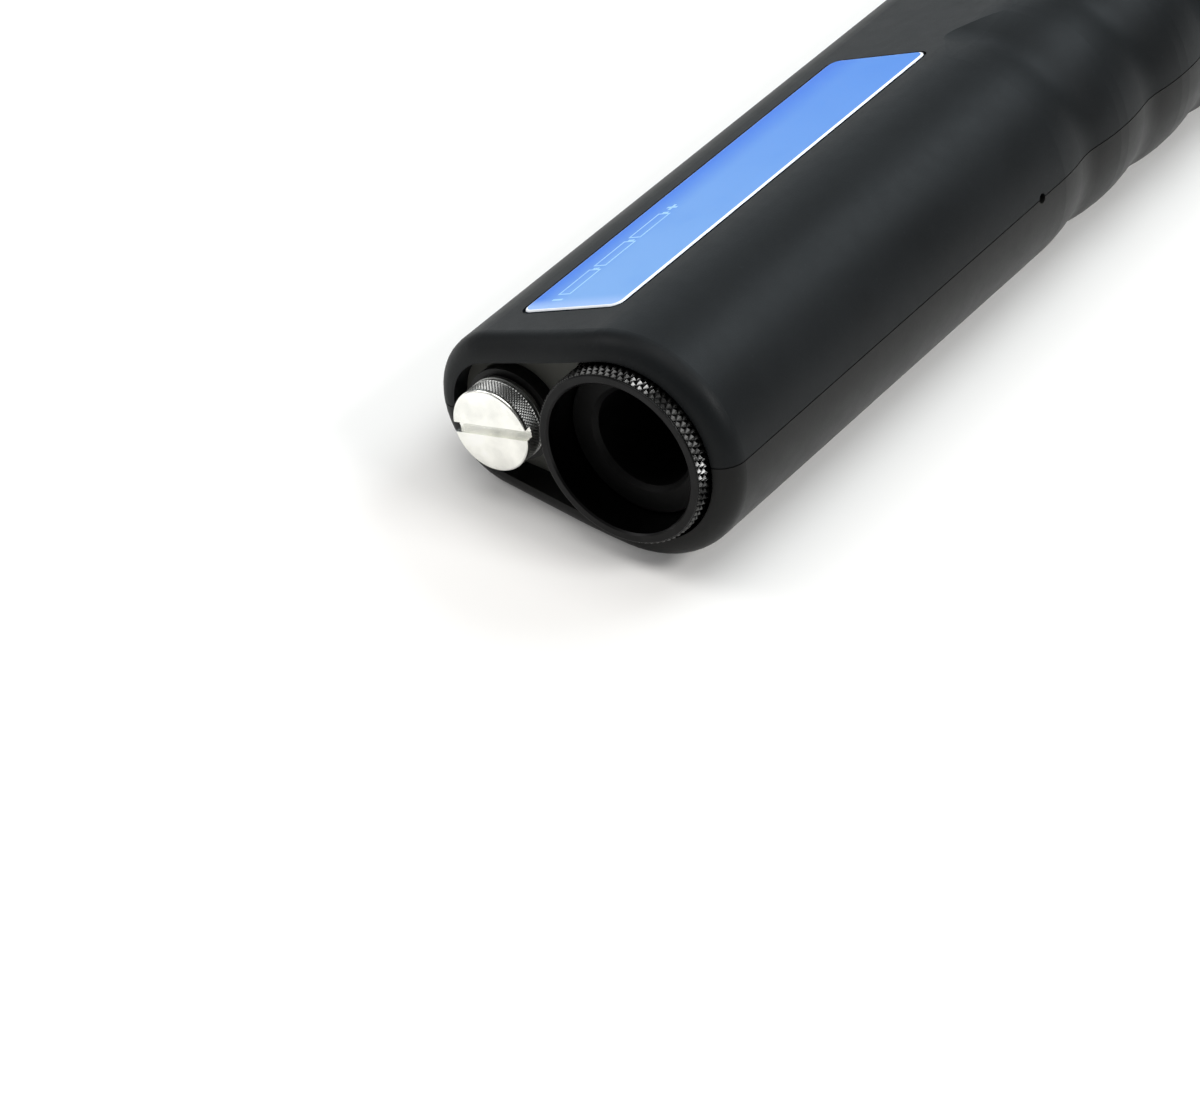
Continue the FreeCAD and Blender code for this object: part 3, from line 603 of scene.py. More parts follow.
@dataclass(frozen=True)
class CellWrap(Finish):
    """Printed sleeve of a dry cell: a dark body with a coppery band at its rear, bare metal at its ends.

    Attributes:
        band: colour of the band.
        bare: colour of the ends.
        band_at: shares of the cell's length between which the band starts.
        rim: distances in from the sleeve between which the bare end starts.
        first_y: front of the first cell, from the lip.
        pitch: length of a cell with its nub.
        radius: radius of the sleeve.
    """

    band: Colour = (0.55, 0.27, 0.09)
    bare: Colour = (0.7, 0.69, 0.66)
    band_at: Pair = (0.68, 0.684)
    rim: Pair = (0.6, 0.75)
    first_y: float = 18.7
    pitch: float = 44.5
    radius: float = 5.25

    def build(self, graph: Graph) -> bpy.types.Material:
        """The band and the ends follow the distance along each cell, which repeats with the pitch."""
        place = graph.place()
        radius = graph.around(Side.BATTERY)
        y = graph.split(place)[1] * (1.0 / MM) - (LIP_Y + self.first_y)
        band = (y / self.pitch).fraction().ramp(*self.band_at)
        bare = radius.ramp(*((self.radius - inset) * MM for inset in self.rim))
        scratch = graph.noise(place, 0.5, 4.0, 0.7)
        tone = graph.mix(band, self.tone, self.band)
        return graph.surface({
            "Base Color": graph.mix(bare, tone, self.bare),
            "Metallic": bare.most(band * 0.8),
            "Roughness": self.rough + (scratch - 0.5) * 0.12,
            "Normal": graph.bump(scratch, 0.004)})


@dataclass(frozen=True)
class ClearResin(Finish):
    """Moulded clear resin with faint flow lines."""

    def build(self, graph: Graph) -> bpy.types.Material:
        """Flow lines change the roughness and the tint."""
        flow = graph.noise(graph.place(), 1.5, 3.0)
        return graph.surface({
            "Base Color": graph.mix(flow.ramp(*SOFT), self.shade(0.96), self.tone),
            "Roughness": self.rough + (flow - 0.5) * 0.06,
            "IOR": 1.54, "Transmission Weight": 0.9})


@dataclass(frozen=True)
class Ceramic(Finish):
    """Ground white ceramic."""

    def build(self, graph: Graph) -> bpy.types.Material:
        """Grinding marks are fine noise in roughness and relief."""
        place = graph.place()
        ground = graph.noise(place, 0.1, 3.0, 0.7)
        cloud = graph.noise(place, 2.0, 2.0)
        return graph.surface({
            "Base Color": graph.mix(cloud.ramp(*SOFT), self.shade(0.95), self.tone),
            "Roughness": self.rough + (ground - 0.5) * 0.1,
            "Normal": graph.bump(ground, 0.001)})


@dataclass
class Weave:
    """A grid of points worked out as whole arrays, turned into one mesh.

    Attributes:
        points: array of rows, columns and coordinates, in metres.
        centres: points of the same surface at the middle of each cell; where given, each cell is split
            along the diagonal that lies nearer to the surface, so that creases stay straight.
        loop_rows: whether the last row joins the first.
        loop_columns: whether the last column joins the first.
        values: named values per point.
    """

    points: Array
    centres: Optional[Array] = None
    loop_rows: bool = False
    loop_columns: bool = True
    values: dict[str, Array] = field(default_factory=dict)

    def faces(self) -> Array:
        """Corner numbers of the cells' triangles.

        Returns:
            An array of three corners per triangle.
        """
        rows, columns = self.points.shape[:2]
        numbers = np.arange(rows * columns).reshape(rows, columns)
        row_ends = rows if self.loop_rows else rows - 1
        column_ends = columns if self.loop_columns else columns - 1
        near = np.arange(row_ends)[:, None]
        left = np.arange(column_ends)[None, :]
        far = (near + 1) % rows
        right = (left + 1) % columns
        a, b = numbers[near, left], numbers[near, right]
        c, d = numbers[far, right], numbers[far, left]
        flip = np.zeros(a.shape, bool)
        if self.centres is not None:
            flat = self.points.reshape(-1, 3)
            first = np.linalg.norm((flat[a] + flat[c]) / 2 - self.centres, axis=2)
            second = np.linalg.norm((flat[b] + flat[d]) / 2 - self.centres, axis=2)
            flip = second < first
        one = np.where(flip[..., None], np.stack([a, b, d], 2), np.stack([a, b, c], 2))
        two = np.where(flip[..., None], np.stack([b, c, d], 2), np.stack([a, c, d], 2))
        return np.concatenate([one.reshape(-1, 3), two.reshape(-1, 3)])

    def piece(self, name: str, crease: float = 30.0) -> bpy.types.Object:
        """Make the object.

        Args:
            name: the piece's name.
            crease: angle in degrees above which an edge stays sharp.

        Returns:
            The object, at the origin and linked to the scene.
        """
        mesh = bpy.data.meshes.new(name)
        faces = self.faces()
        mesh.vertices.add(self.points.shape[0] * self.points.shape[1])
        mesh.vertices.foreach_set("co", self.points.astype(np.float32).ravel())
        mesh.loops.add(faces.size)
        mesh.loops.foreach_set("vertex_index", faces.astype(np.int32).ravel())
        mesh.polygons.add(len(faces))
        mesh.polygons.foreach_set("loop_start", np.arange(0, faces.size, 3, dtype=np.int32))
        mesh.update(calc_edges=True)
        for key, value in self.values.items():
            layer = mesh.attributes.new(key, "FLOAT", "POINT")
            layer.data.foreach_set("value", value.astype(np.float32).ravel())
        close_mesh(mesh, crease)
        piece = bpy.data.objects.new(name, mesh)
        bpy.context.scene.collection.objects.link(piece)
        return piece


def close_mesh(mesh: bpy.types.Mesh, crease: float) -> None:
    """Merge doubled points at seams and poles, turn the faces outwards and mark the sharp edges.

    Args:
        mesh: the mesh to close.
        crease: angle in degrees above which an edge stays sharp.
    """
    merge = 2e-7
    work = bmesh.new()
    work.from_mesh(mesh)
    bmesh.ops.remove_doubles(work, verts=work.verts, dist=merge)
    bmesh.ops.dissolve_degenerate(work, edges=work.edges, dist=merge / 4)
    bmesh.ops.recalc_face_normals(work, faces=work.faces)
    work.to_mesh(mesh)
    work.free()
    mesh.shade_smooth()
    mesh.set_sharp_from_angle(angle=math.radians(crease))


def turned(radius: Array, along: Array, angle: Array, side: Side) -> Array:
    """Points of a turned surface: the axis, plus the radius in the direction of the angle from +X to +Z.

    Args:
        radius: radius of each point in millimetres.
        along: distance of each point from the lip, in millimetres.
        angle: angle of each point round the axis.
        side: lobe whose axis is used.

    Returns:
        The points in metres.
    """
    radius, along, angle = np.broadcast_arrays(radius, along, angle)
    x = side.value[0] + radius * np.cos(angle)
    z = side.value[1] + radius * np.sin(angle)
    return np.stack([x, along + LIP_Y, z], axis=-1) * MM


def diamonds(angle: Array, along: Array, count: int, pitch: float) -> Array:
    """Height of a diamond knurl between 0 in its grooves and 1 on its points.

    Two families of V grooves run round the piece on opposite hands: the turn number plus or minus the
    distance in pitches. Each groove's height rises evenly from its middle, and the lower of the two counts.

    Args:
        angle: angle round the axis.
        along: distance from the start of the knurl.
        count: diamonds round the piece.
        pitch: length of a diamond along the axis.

    Returns:
        The height.
    """
    turn = angle * count / math.tau
    one = turn + along / pitch
    two = turn - along / pitch
    return np.minimum(np.abs(2 * (one % 1.0) - 1), np.abs(2 * (two % 1.0) - 1))


def stretch(start: float, end: float, step: float) -> Array:
    """Even stations from start to end, both taken in, no further apart than the step."""
    return np.linspace(start, end, max(2, int(math.ceil(abs(end - start) / step)) + 1))


def between(values: Array) -> Array:
    """Middles of neighbouring values."""
    return (values[:-1] + values[1:]) / 2


def level(radius: float, along: Array) -> Array:
    """Rows of one radius at the given distances."""
    return np.stack([np.full(along.size, radius), along], 1)


@dataclass
class KnurledPiece:
    """A turned piece with a diamond knurl.

    Attributes:
        knurl_y: distance of the knurl's first row.
        knurl_pitch: length of a diamond along the axis.
        knurl_depth: depth of the grooves.
        knurl_count: diamonds round the piece.
        knurl_rows: diamonds along it.
        splits: cells of the grid to a diamond, each way.
        crease: angle in degrees above which an edge stays sharp.
    """

    knurl_y: float = 0.0
    knurl_pitch: float = 1.0
    knurl_depth: float = 0.2
    knurl_count: int = 78
    knurl_rows: int = 4
    splits: int = 4
    crease: float = 20.0

    def knurl(self) -> Array:
        """Distances of the knurl's rows."""
        end = self.knurl_y + self.knurl_pitch * self.knurl_rows
        return stretch(self.knurl_y, end, self.knurl_pitch / self.splits)

    def runs(self) -> list[tuple[Any, Zone]]:
        """Stretches of the profile, as rows of radius and distance from the lip, each with its zone."""
        raise NotImplementedError

    def relief(self, radius: Array, along: Array, zone: Array, angle: Array) -> tuple[Array, Array]:
        """Lay the relief of each zone on the profile.

        Args:
            radius: radius of each row.
            along: distance of each row.
            zone: zone of each row.
            angle: angle of each column.

        Returns:
            The radius of each point, and the value that the finish reads there.
        """
        raise NotImplementedError

    def weave(self, side: Side, closed: bool, value_name: str) -> Weave:
        """Carry the profile round the axis, with its relief.

        The middle of a cell is a point of the same relief, halfway between rows and columns.

        Args:
            side: lobe whose axis is used.
            closed: whether the profile's last row joins its first.
            value_name: name of the value that the finish reads.

        Returns:
            The grid, ready to become a piece.
        """
        runs = self.runs()
        profile = np.concatenate([np.asarray(run, float) for run, _ in runs])
        zone = np.concatenate([np.full(len(run), int(kind)) for run, kind in runs])
        rows = [profile[:, :1], profile[:, 1:], zone[:, None]]
        columns = self.knurl_count * self.splits
        angle = np.arange(columns)[None, :] * math.tau / columns
        half = angle + math.pi / columns
        loop = [np.concatenate([row, row[:1]]) for row in rows] if closed else rows
        middle = [between(loop[0]), between(loop[1]), np.minimum(loop[2][:-1], loop[2][1:])]
        full, value = self.relief(*rows, angle)
        points = turned(full, rows[1], angle, side)
        centres = turned(self.relief(*middle, half)[0], middle[1], half, side)
        return Weave(points, centres, closed, True, {value_name: np.broadcast_to(value, full.shape)})


@dataclass
class FocusRing(KnurledPiece):
    """Knurled focus ring with a smooth lip, a flange, and a sleeve with a helical groove inside."""

    lip_r: float = 15.0
    lip_round: float = 0.16
    lip_turn: float = 0.048
    face_row: float = 0.6
    bore_r: float = 13.44
    bore_rows: Pair = (20.0, 8.0)
    chamfer: float = 0.3
    knurl_r: float = 15.45
    knurl_depth: float = 0.4
    knurl_pitch: float = 2.2
    knurl_y: float = 0.32
    # Plain stretch before the knurl, and where its root ends and the shoulder starts behind it
    knurl_lead: float = 0.04
    knurl_ends: Pair = (0.15, 0.5)
    shoulder_r: float = 15.5
    flange_r: float = 16.5
    flange_y: float = 12.0
    flange_length: float = 1.7
    sleeve_r: float = 15.04
    rear_y: float = 47.6
    groove_y: float = 38.8
    groove_reach: float = 4.2
    groove_step: float = 0.2
    groove_lead: float = 12.0
    groove_half_width: float = 1.1
    groove_wall: float = 0.12
    groove_depth: float = 0.9
    groove_half_angle: float = math.radians(65.1)
    finish: TurnedMetal = TurnedMetal(
        "ring_black_finish", (0.018, 0.018, 0.0182), 0.32, Side.OPTICS, 1.0, 0.1, 0.0006, (0.10, 0.10, 0.098),
        1.0, (0.02, 0.35))

    def runs(self) -> list[tuple[Any, Zone]]:
        """Closed profile: lip, knurl, flange and sleeve outside, then the grooved bore back to the lip."""
        knurl = self.knurl()
        groove_ends = self.groove_y + self.groove_reach, self.groove_y - self.groove_reach
        groove = stretch(*groove_ends, self.groove_step)
        root = self.knurl_r - self.knurl_depth
        flange_rear = self.flange_y + self.flange_length
        front = [
            (self.bore_r + self.chamfer, 0.0), (self.bore_r + self.face_row, 0.0),
            (self.lip_r - self.lip_round, 0.0), (self.lip_r - self.lip_turn, self.lip_turn),
            (self.lip_r, self.lip_round), (self.lip_r, self.knurl_y - self.knurl_lead)]
        middle = [
            (root, knurl[-1] + self.knurl_ends[0]), (self.shoulder_r, knurl[-1] + self.knurl_ends[1]),
            (self.shoulder_r, self.flange_y), (self.flange_r, self.flange_y), (self.flange_r, flange_rear),
            (self.sleeve_r, flange_rear), (self.sleeve_r, self.rear_y), (self.bore_r, self.rear_y)]
        rear = level(self.bore_r, np.array([*self.bore_rows, self.chamfer]))
        return [(front, Zone.PLAIN), (level(root, knurl), Zone.KNURL), (middle, Zone.PLAIN),
                (level(self.bore_r, groove), Zone.CUT), (rear, Zone.PLAIN)]

    def relief(self, radius: Array, along: Array, zone: Array, angle: Array) -> tuple[Array, Array]:
        """Raise the knurl and cut the groove; the value is the knurl's height.

        The groove's middle falls by its lead for each turn, and its walls are steep slopes.
        """
        first = self.knurl_y + self.knurl_pitch / self.splits
        crest = diamonds(angle, along - first, self.knurl_count, self.knurl_pitch) * (zone == Zone.KNURL)
        turn = (angle - TILT + math.pi) % math.tau - math.pi
        middle = self.groove_y - self.groove_lead * turn / math.tau
        inside = np.clip((self.groove_half_width - np.abs(along - middle)) / self.groove_wall + 0.5, 0, 1)
        inside = inside * (np.abs(turn) < self.groove_half_angle) * (zone == Zone.CUT)
        return radius + crest * self.knurl_depth + inside * self.groove_depth, crest

    def build(self) -> bpy.types.Object:
        """Make the ring in place of its solid.

        Returns:
            The ring's object.
        """
        piece = self.weave(Side.OPTICS, True, "crest").piece("focus_ring_knurled", self.crease)
        self.finish.dress(piece)
        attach(piece, "focus_ring")
        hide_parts("focus_ring")
        return piece


@dataclass
class BatteryCap(KnurledPiece):
    """Coin-slotted screw cap with a fine knurl on its head and a thread on its hollow shank."""

    face_y: float = 0.9
    face_rows: Triple = (0.0, 2.0, 4.4)
    back_y: float = 6.5
    end_y: float = 14.5
    web_y: float = 8.3
    head_r: float = 7.35
    bevel: float = 0.45
    bevel_rows: int = 7
    knurl_gap: float = 0.3
    knurl_lead: float = 0.1
    knurl_depth: float = 0.17
    knurl_pitch: float = 0.72
    # Rows of the shallow neck behind the knurl, from the knurl's last row
    neck_rows: tuple[float, ...] = (0.1, 0.35, 0.45, 0.75, 0.85)
    neck_cut: float = 0.08
    shank_r: float = 6.2
    thread_depth: float = 0.42
    thread_pitch: float = 1.25
    thread_rows: int = 10
    thread_margin: float = 0.3
    thread_fade: float = 0.6
    thread_steep: float = 1.3
    thread_root: float = 0.15
    bore_r: float = 4.7
    hole_r: float = 1.2
    slot_width: float = 1.8
    slot_depth: float = 1.5
    slot_angle: float = math.radians(3.0) + TILT
    # The slot's cutter starts this far before the face, and reaches this share of the head's radius
    slot_over: float = 1.0
    slot_reach: float = 1.3
    # The share of the painted shade that a crest is spared, and the painted shade on the plain rear of the
    # head
    painted_shade: Pair = (0.6, 0.75)
    # The cap's finish paints a mid grey into the knurl's grooves and over the rear of the head as shade
    finish: TurnedMetal = TurnedMetal(
        "cap_silver_finish", (0.93, 0.93, 0.88), 0.24, Side.BATTERY, 1.0, 0.09, 0.0012,
        painted_shade=(0.34, 0.345, 0.34))

    def __post_init__(self) -> None:
        """Start the knurl past the rounded edge of the face."""
        self.knurl_y = self.face_y + self.bevel + self.knurl_gap

    def runs(self) -> list[tuple[Any, Zone]]:
        """Profile from the middle of the face round the head and the shank to the middle of the web."""
        knurl = self.knurl()
        thread = stretch(self.back_y + self.thread_margin, self.end_y - self.thread_margin,
                         self.thread_pitch / self.thread_rows)
        root = self.head_r - self.knurl_depth
        neck = root - self.neck_cut
        core = self.shank_r - self.thread_depth
        swing = np.linspace(0, QUARTER, self.bevel_rows)
        rounding = np.stack([self.head_r - self.bevel + self.bevel * np.sin(swing),
                             self.face_y + self.bevel - self.bevel * np.cos(swing)], 1)
        face = np.concatenate([[(radius, self.face_y) for radius in self.face_rows], rounding,
                               [(self.head_r, self.knurl_y - self.knurl_lead)]])
        steps = knurl[-1] + np.array(self.neck_rows)
        head = np.concatenate([
            np.stack([(self.head_r, self.head_r, neck, neck, self.head_r), steps], 1),
            [(self.head_r, self.back_y - self.bevel), (self.head_r - self.bevel, self.back_y),
             (core, self.back_y)]])
        inside = [(core, self.end_y), (self.bore_r, self.end_y), (self.bore_r, self.web_y),
                  (self.hole_r, self.web_y), (self.hole_r, self.back_y), (0.0, self.back_y)]
        return [(face, Zone.PLAIN), (level(root, knurl), Zone.KNURL), (head, Zone.SOILED),
                (level(core, thread), Zone.CUT), (inside, Zone.PLAIN)]

    def relief(self, radius: Array, along: Array, zone: Array, angle: Array) -> tuple[Array, Array]:
        """Raise the knurl and a rounded thread, faded out at both its ends; the value is the painted shade.

        Painted shade lies deepest in the knurl's grooves, and evenly on the plain rear of the head, where
        shade falls.
        """
        crest = diamonds(angle, along - self.knurl_y, self.knurl_count, self.knurl_pitch)
        crest = crest * (zone == Zone.KNURL)
        wave = 0.5 + 0.5 * np.cos(math.tau * (along - self.back_y) / self.thread_pitch + angle)
        margin = self.thread_margin
        inner = np.minimum(along - self.back_y - margin, self.end_y - margin - along)
        ends = np.clip(inner / self.thread_fade, 0, 1)
        ridge = np.clip(self.thread_steep * wave - self.thread_root, 0, 1) * ends * (zone == Zone.CUT)
        full = radius + crest * self.knurl_depth + ridge * self.thread_depth
        crest_unshaded, rear = self.painted_shade
        return full, (1 - crest_unshaded * crest) * (zone == Zone.KNURL) + rear * (zone == Zone.SOILED)

    def slot_tool(self) -> bpy.types.Object:
        """Cutter of the coin slot: a closed grid whose box profile is carried across the face."""
        axis_x, axis_z = Side.BATTERY.value
        reach = self.head_r * self.slot_reach
        half = self.slot_width / 2
        across = np.array([-half, -half, half, half])
        depth = np.array([-self.slot_over, self.slot_depth, self.slot_depth, -self.slot_over])
        run = np.array([-reach, -reach, reach, reach])[:, None]
        size = np.array([0.0, 1.0, 1.0, 0.0])[:, None]
        mid = (self.slot_depth - self.slot_over) / 2
        cos, sin = math.cos(self.slot_angle), math.sin(self.slot_angle)
        x = axis_x + run * cos - across * size * sin
        z = axis_z + run * sin + across * size * cos
        y = LIP_Y + self.face_y + mid + (depth - mid) * size
        return Weave(np.stack(np.broadcast_arrays(x, y, z), -1) * MM).piece("slot_tool")

    def build(self) -> bpy.types.Object:
        """Make the cap in place of its solid, with the slot cut by a Boolean.

        Returns:
            The cap's object.
        """
        # The value named groove carries the painted shade of the knurl's grooves and the head's rear
        piece = self.weave(Side.BATTERY, False, "groove").piece("battery_cap_turned", self.crease)
        cut_away(piece, self.slot_tool())
        piece.data.shade_smooth()
        piece.data.set_sharp_from_angle(angle=math.radians(self.crease))
        self.finish.dress(piece)
        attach(piece, "battery_cap")
        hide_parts("battery_cap")
        return piece


def cut_away(piece: bpy.types.Object, tool: bpy.types.Object) -> None:
    """Take a tool's volume out of a piece and delete the tool.

    Args:
        piece: the piece to cut.
        tool: the closed cutter.
    """
    cut = piece.modifiers.new("cut", "BOOLEAN")
    cut.operation = "DIFFERENCE"
    cut.solver = "EXACT"
    cut.object = tool
    bpy.context.view_layer.update()
    graph = bpy.context.evaluated_depsgraph_get()
    mesh = bpy.data.meshes.new_from_object(piece.evaluated_get(graph), depsgraph=graph)
    piece.modifiers.clear()
    piece.data = mesh
    bpy.data.objects.remove(tool)


@dataclass
class LabelFilm:
    """Printed label under a clear dome, in the recess of the upper flat, its top edge rounded over."""

    edge_u: float = 2.981
    front_y: float = 14.2
    width: float = 20.6
    length: float = 94.1
    corner: float = 2.0
    corner_steps: int = 10
    recess: float = 0.45
    thickness: float = 0.65
    rounding: float = 0.4
    rounding_rows: int = 7
    border: float = 0.15
    # Rows of the rounding up to this swing carry the painted highlight, and those past it the painted shade
    painted_highlight_to: float = math.radians(65.0)
    # A corner's last step stops short of the next corner, and a turn within the snap of it is in it
    short: float = 1e-7
    snap: float = 1e-9
    crease: float = 25.0
    finish: PrintedFilm = PrintedFilm("label_blue_finish", (0.004, 0.165, 0.75), 0.2)

    def outline(self, inset: Array, turn: Array) -> tuple[Array, Array]:
        """Rounded rectangle, moved inwards by an inset.

        The corner's centre is stepped from quarter to quarter and the rest of the radius is laid off in the
        direction of the turn; past the radius the centres themselves draw together.

        Args:
            inset: inset of each row.
            turn: angle of each column, four quarters.

        Returns:
            Distances across and along from the middle of the film.
        """
        radius = np.maximum(self.corner - inset, 0.0)
        deeper = np.maximum(inset - self.corner, 0.0)
        quarter = np.floor(turn / QUARTER + self.snap)
        side_u = np.where((quarter == 0) | (quarter == 3), 1.0, -1.0)
        side_y = np.where(quarter < 2, 1.0, -1.0)
        swing = (quarter + np.clip(turn / QUARTER - quarter, 0, 1)) * QUARTER
        u = side_u * np.maximum(self.width / 2 - self.corner - deeper, 0) + radius * np.cos(swing)
        y = side_y * np.maximum(self.length / 2 - self.corner - deeper, 0) + radius * np.sin(swing)
        return u, y

    def build(self) -> bpy.types.Object:
        """Make the film in place of its solid.

        Returns:
            The film's object.
        """
        steps = np.linspace(0, 1 - self.short, self.corner_steps)
        turn = ((np.arange(4)[:, None] + steps) * QUARTER).ravel()
        base = -self.recess
        top = base + self.thickness
        swing = np.linspace(0, QUARTER, self.rounding_rows)
        # The upper rows of the rounding are marked for the painted highlight; its lower rows and the foot of
        # the wall for the painted shade
        over = np.stack([self.rounding * (1 - np.sin(swing)), top - self.rounding * (1 - np.cos(swing)),
                         swing < self.painted_highlight_to, swing >= self.painted_highlight_to], 1)[::-1]
        rows = np.concatenate([
            [(self.width / 2, base, 0, 1), (0, base, 0, 1)], over,
            [(inset, top, 0, 0) for inset in (self.rounding + self.border, self.width / 4, self.width / 2)]])
        u, y = self.outline(rows[:, :1], turn[None, :])
        height = np.broadcast_to(rows[:, 1:2], u.shape)
        across = u + self.edge_u + self.width / 2
        along = y + self.front_y + self.length / 2
        cos, sin = math.cos(FLAT_TILT), math.sin(FLAT_TILT)
        corner_x, corner_y, corner_z = FLAT_CORNER
        points = np.stack([corner_x + across * cos - height * sin, corner_y + along,
                           corner_z + across * sin + height * cos], -1) * MM
        # The painted highlight of the edge lies on the optics side and at the front, and fades out round the
        # corners
        painted_highlight_share = np.clip(2 * np.maximum(np.cos(turn), -np.sin(turn)), 0, 1)[None, :]
        side = np.broadcast_to(rows[:, 3:4], u.shape)
        weave = Weave(points, values={"edge": rows[:, 2:3] * painted_highlight_share, "side": side})
        piece = weave.piece("label_film", self.crease)
        self.finish.dress(piece)
        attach(piece, "housing")
        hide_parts("label_plate")
        return piece


@dataclass
class Eyecup:
    """Rubber eyecup: waisted and flared, with grip ribs at its base and a rolled lip."""

    base_y: float = 206.7
    end_y: float = 231.4
    base_r: float = 15.2
    waist_r: float = 14.4
    waist_y: float = 214.11
    mouth_r: float = 17.8
    wall: float = 1.8
    neck_r: float = 11.5
    seat_y: float = 214.7
    rib_depth: float = 0.45
    rib_pitch: float = 1.7
    rib_count: int = 5
    # A rib's groove is a raised sine wave, made steeper, lowered by the land and cut off at the floor
    rib_start: float = 0.9
    rib_steep: float = 1.4
    rib_land: float = 0.55
    rib_floor: float = 0.85
    wall_step: float = 0.12
    lip_rows: int = 14
    inner_rows: int = 24
    columns: int = 160
    crease: float = 40.0
    finish: SoftRubber = SoftRubber("cup_rubber_finish", (0.0105, 0.0105, 0.011), 0.62)

    def outside(self, along: Array) -> Array:
        """Radius of the outer wall: the circle through base, waist and mouth, with rounded ribs cut into it.

        Args:
            along: distances from the lip of the focus ring.

        Returns:
            The radius at each distance.
        """
        ends = np.array([self.base_y, self.waist_y, self.end_y - self.wall / 2])
        sides = np.array([self.base_r, self.waist_r, self.mouth_r])
        square = ends ** 2 + sides ** 2
        matrix = np.stack([2 * ends, 2 * sides, np.ones(3)], 1)
        middle_y, middle_r, rest = np.linalg.solve(matrix, square)
        size = math.sqrt(rest + middle_y ** 2 + middle_r ** 2)
        curve = middle_r - np.sqrt(size ** 2 - (along - middle_y) ** 2)
        place = (along - self.base_y - self.rib_start) / self.rib_pitch
        wave = np.sin(math.pi * np.clip(place, 0, self.rib_count)) ** 2
        notch = np.clip(wave * self.rib_steep - self.rib_land, 0, self.rib_floor)
        return curve - notch * self.rib_depth

    def build(self) -> bpy.types.Object:
        """Make the cup in place of its solid.

        Returns:
            The cup's object.
        """
        lip = self.wall / 2
        wall_y = stretch(self.base_y, self.end_y - lip, self.wall_step)
        swing = np.linspace(0, math.pi, self.lip_rows)[1:-1]
        lip_r = self.mouth_r - lip + lip * np.cos(swing)
        lip_y = self.end_y - lip + lip * np.sin(swing)
        inner_y = np.linspace(self.end_y - lip, self.seat_y, self.inner_rows)
        share = (inner_y - self.seat_y) / (self.end_y - lip - self.seat_y)
        inner_r = self.neck_r + (self.mouth_r - self.wall - self.neck_r) * share
        radius = np.concatenate([self.outside(wall_y), lip_r, inner_r, [self.neck_r]])[:, None]
        along = np.concatenate([wall_y, lip_y, inner_y, [self.base_y]])[:, None]
        angle = np.arange(self.columns)[None, :] * math.tau / self.columns
        weave = Weave(turned(radius, along, angle, Side.OPTICS), loop_rows=True)
        piece = weave.piece("eyecup_rubber", self.crease)
        self.finish.dress(piece)
        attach(piece, "housing")
        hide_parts("eyecup")
        return piece


@dataclass
class CarriedParts:
    """Solids whose shape is right as they are, with a finish for each of the record's material slots."""

    finishes: dict[str, Finish] = field(default_factory=lambda: {
        "upper_case": MouldedCase("upper_case_finish", (0.0066, 0.0078, 0.0086), 0.47, shine=0.13),
        # The two cases are one plastic; the lower case's tone is painted lighter and warmer, standing in for
        # warm light bounced up from the floor
        "lower_case": MouldedCase("lower_case_painted_bounce_finish", (0.0083, 0.0084, 0.0081), 0.41, shine=0.13),
        "screw_steel": PlatedMetal("screw_steel_finish", (0.52, 0.52, 0.53), 0.3),
        "front_grey": MouldedCase("front_grey_finish", (0.105, 0.106, 0.095), 0.55, 0.2, 0.008),
        "adapter_black": TurnedMetal("adapter_black_finish", (0.004, 0.004, 0.004), 0.5, shine=0.12),
        "sleeve_white": Ceramic("sleeve_white_finish", (0.8, 0.79, 0.75), 0.28),
        "optics_black": TurnedMetal("optics_black_finish", (0.010, 0.010, 0.0105), 0.45),
        "lens_glass": OpticGlass("lens_glass_finish", (1.0, 1.0, 1.0), 0.02),
        "filter_glass": OpticGlass("filter_glass_finish", (0.62, 0.9, 0.86), 0.03, 520.0),
        "board_green": CircuitBoard("board_green_finish", (0.012, 0.09, 0.028), 0.36),
        "lamp_clear": ClearResin("lamp_clear_finish", (0.96, 0.97, 0.98), 0.08),
        "switch_black": MouldedCase("black_plastic_finish", (0.012, 0.012, 0.012), 0.42, 0.15, 0.004, 6.0),
        "button_rubber": SoftRubber("button_rubber_finish", (0.016, 0.016, 0.0165), 0.58),
        "tube_black": MouldedCase("tube_black_finish", (0.014, 0.014, 0.014), 0.46, 0.2, 0.006),
        "contact_brass": PlatedMetal("contact_brass_finish", (0.78, 0.56, 0.24), 0.28, (0.3, 0.17, 0.06)),
        "cell_wrap": CellWrap("cell_wrap_finish", (0.02, 0.02, 0.022), 0.32),
    })

    def dress(self, frame: dict[str, Any]) -> None:
        """Put each node's finish on it, by the slot that it came with.

        Args:
            frame: the loaded frame.
        """
        for name, node in frame["nodes"].items():
            slot = node.material_slots[0].material.name.split(".")[0]
            if slot in self.finishes:
                self.finishes[slot].dress(node)
                LOG.info("%s wears %s", name, self.finishes[slot].name)


def rig_matrix(side: Any, up: Any, back: Any, place: Any) -> Matrix:
    """Matrix of a lamp or camera, from three directions and its place."""
    columns = np.stack([side, up, back, place], 1)
    return Matrix(np.vstack([columns, (0.0, 0.0, 0.0, 1.0)]).tolist())


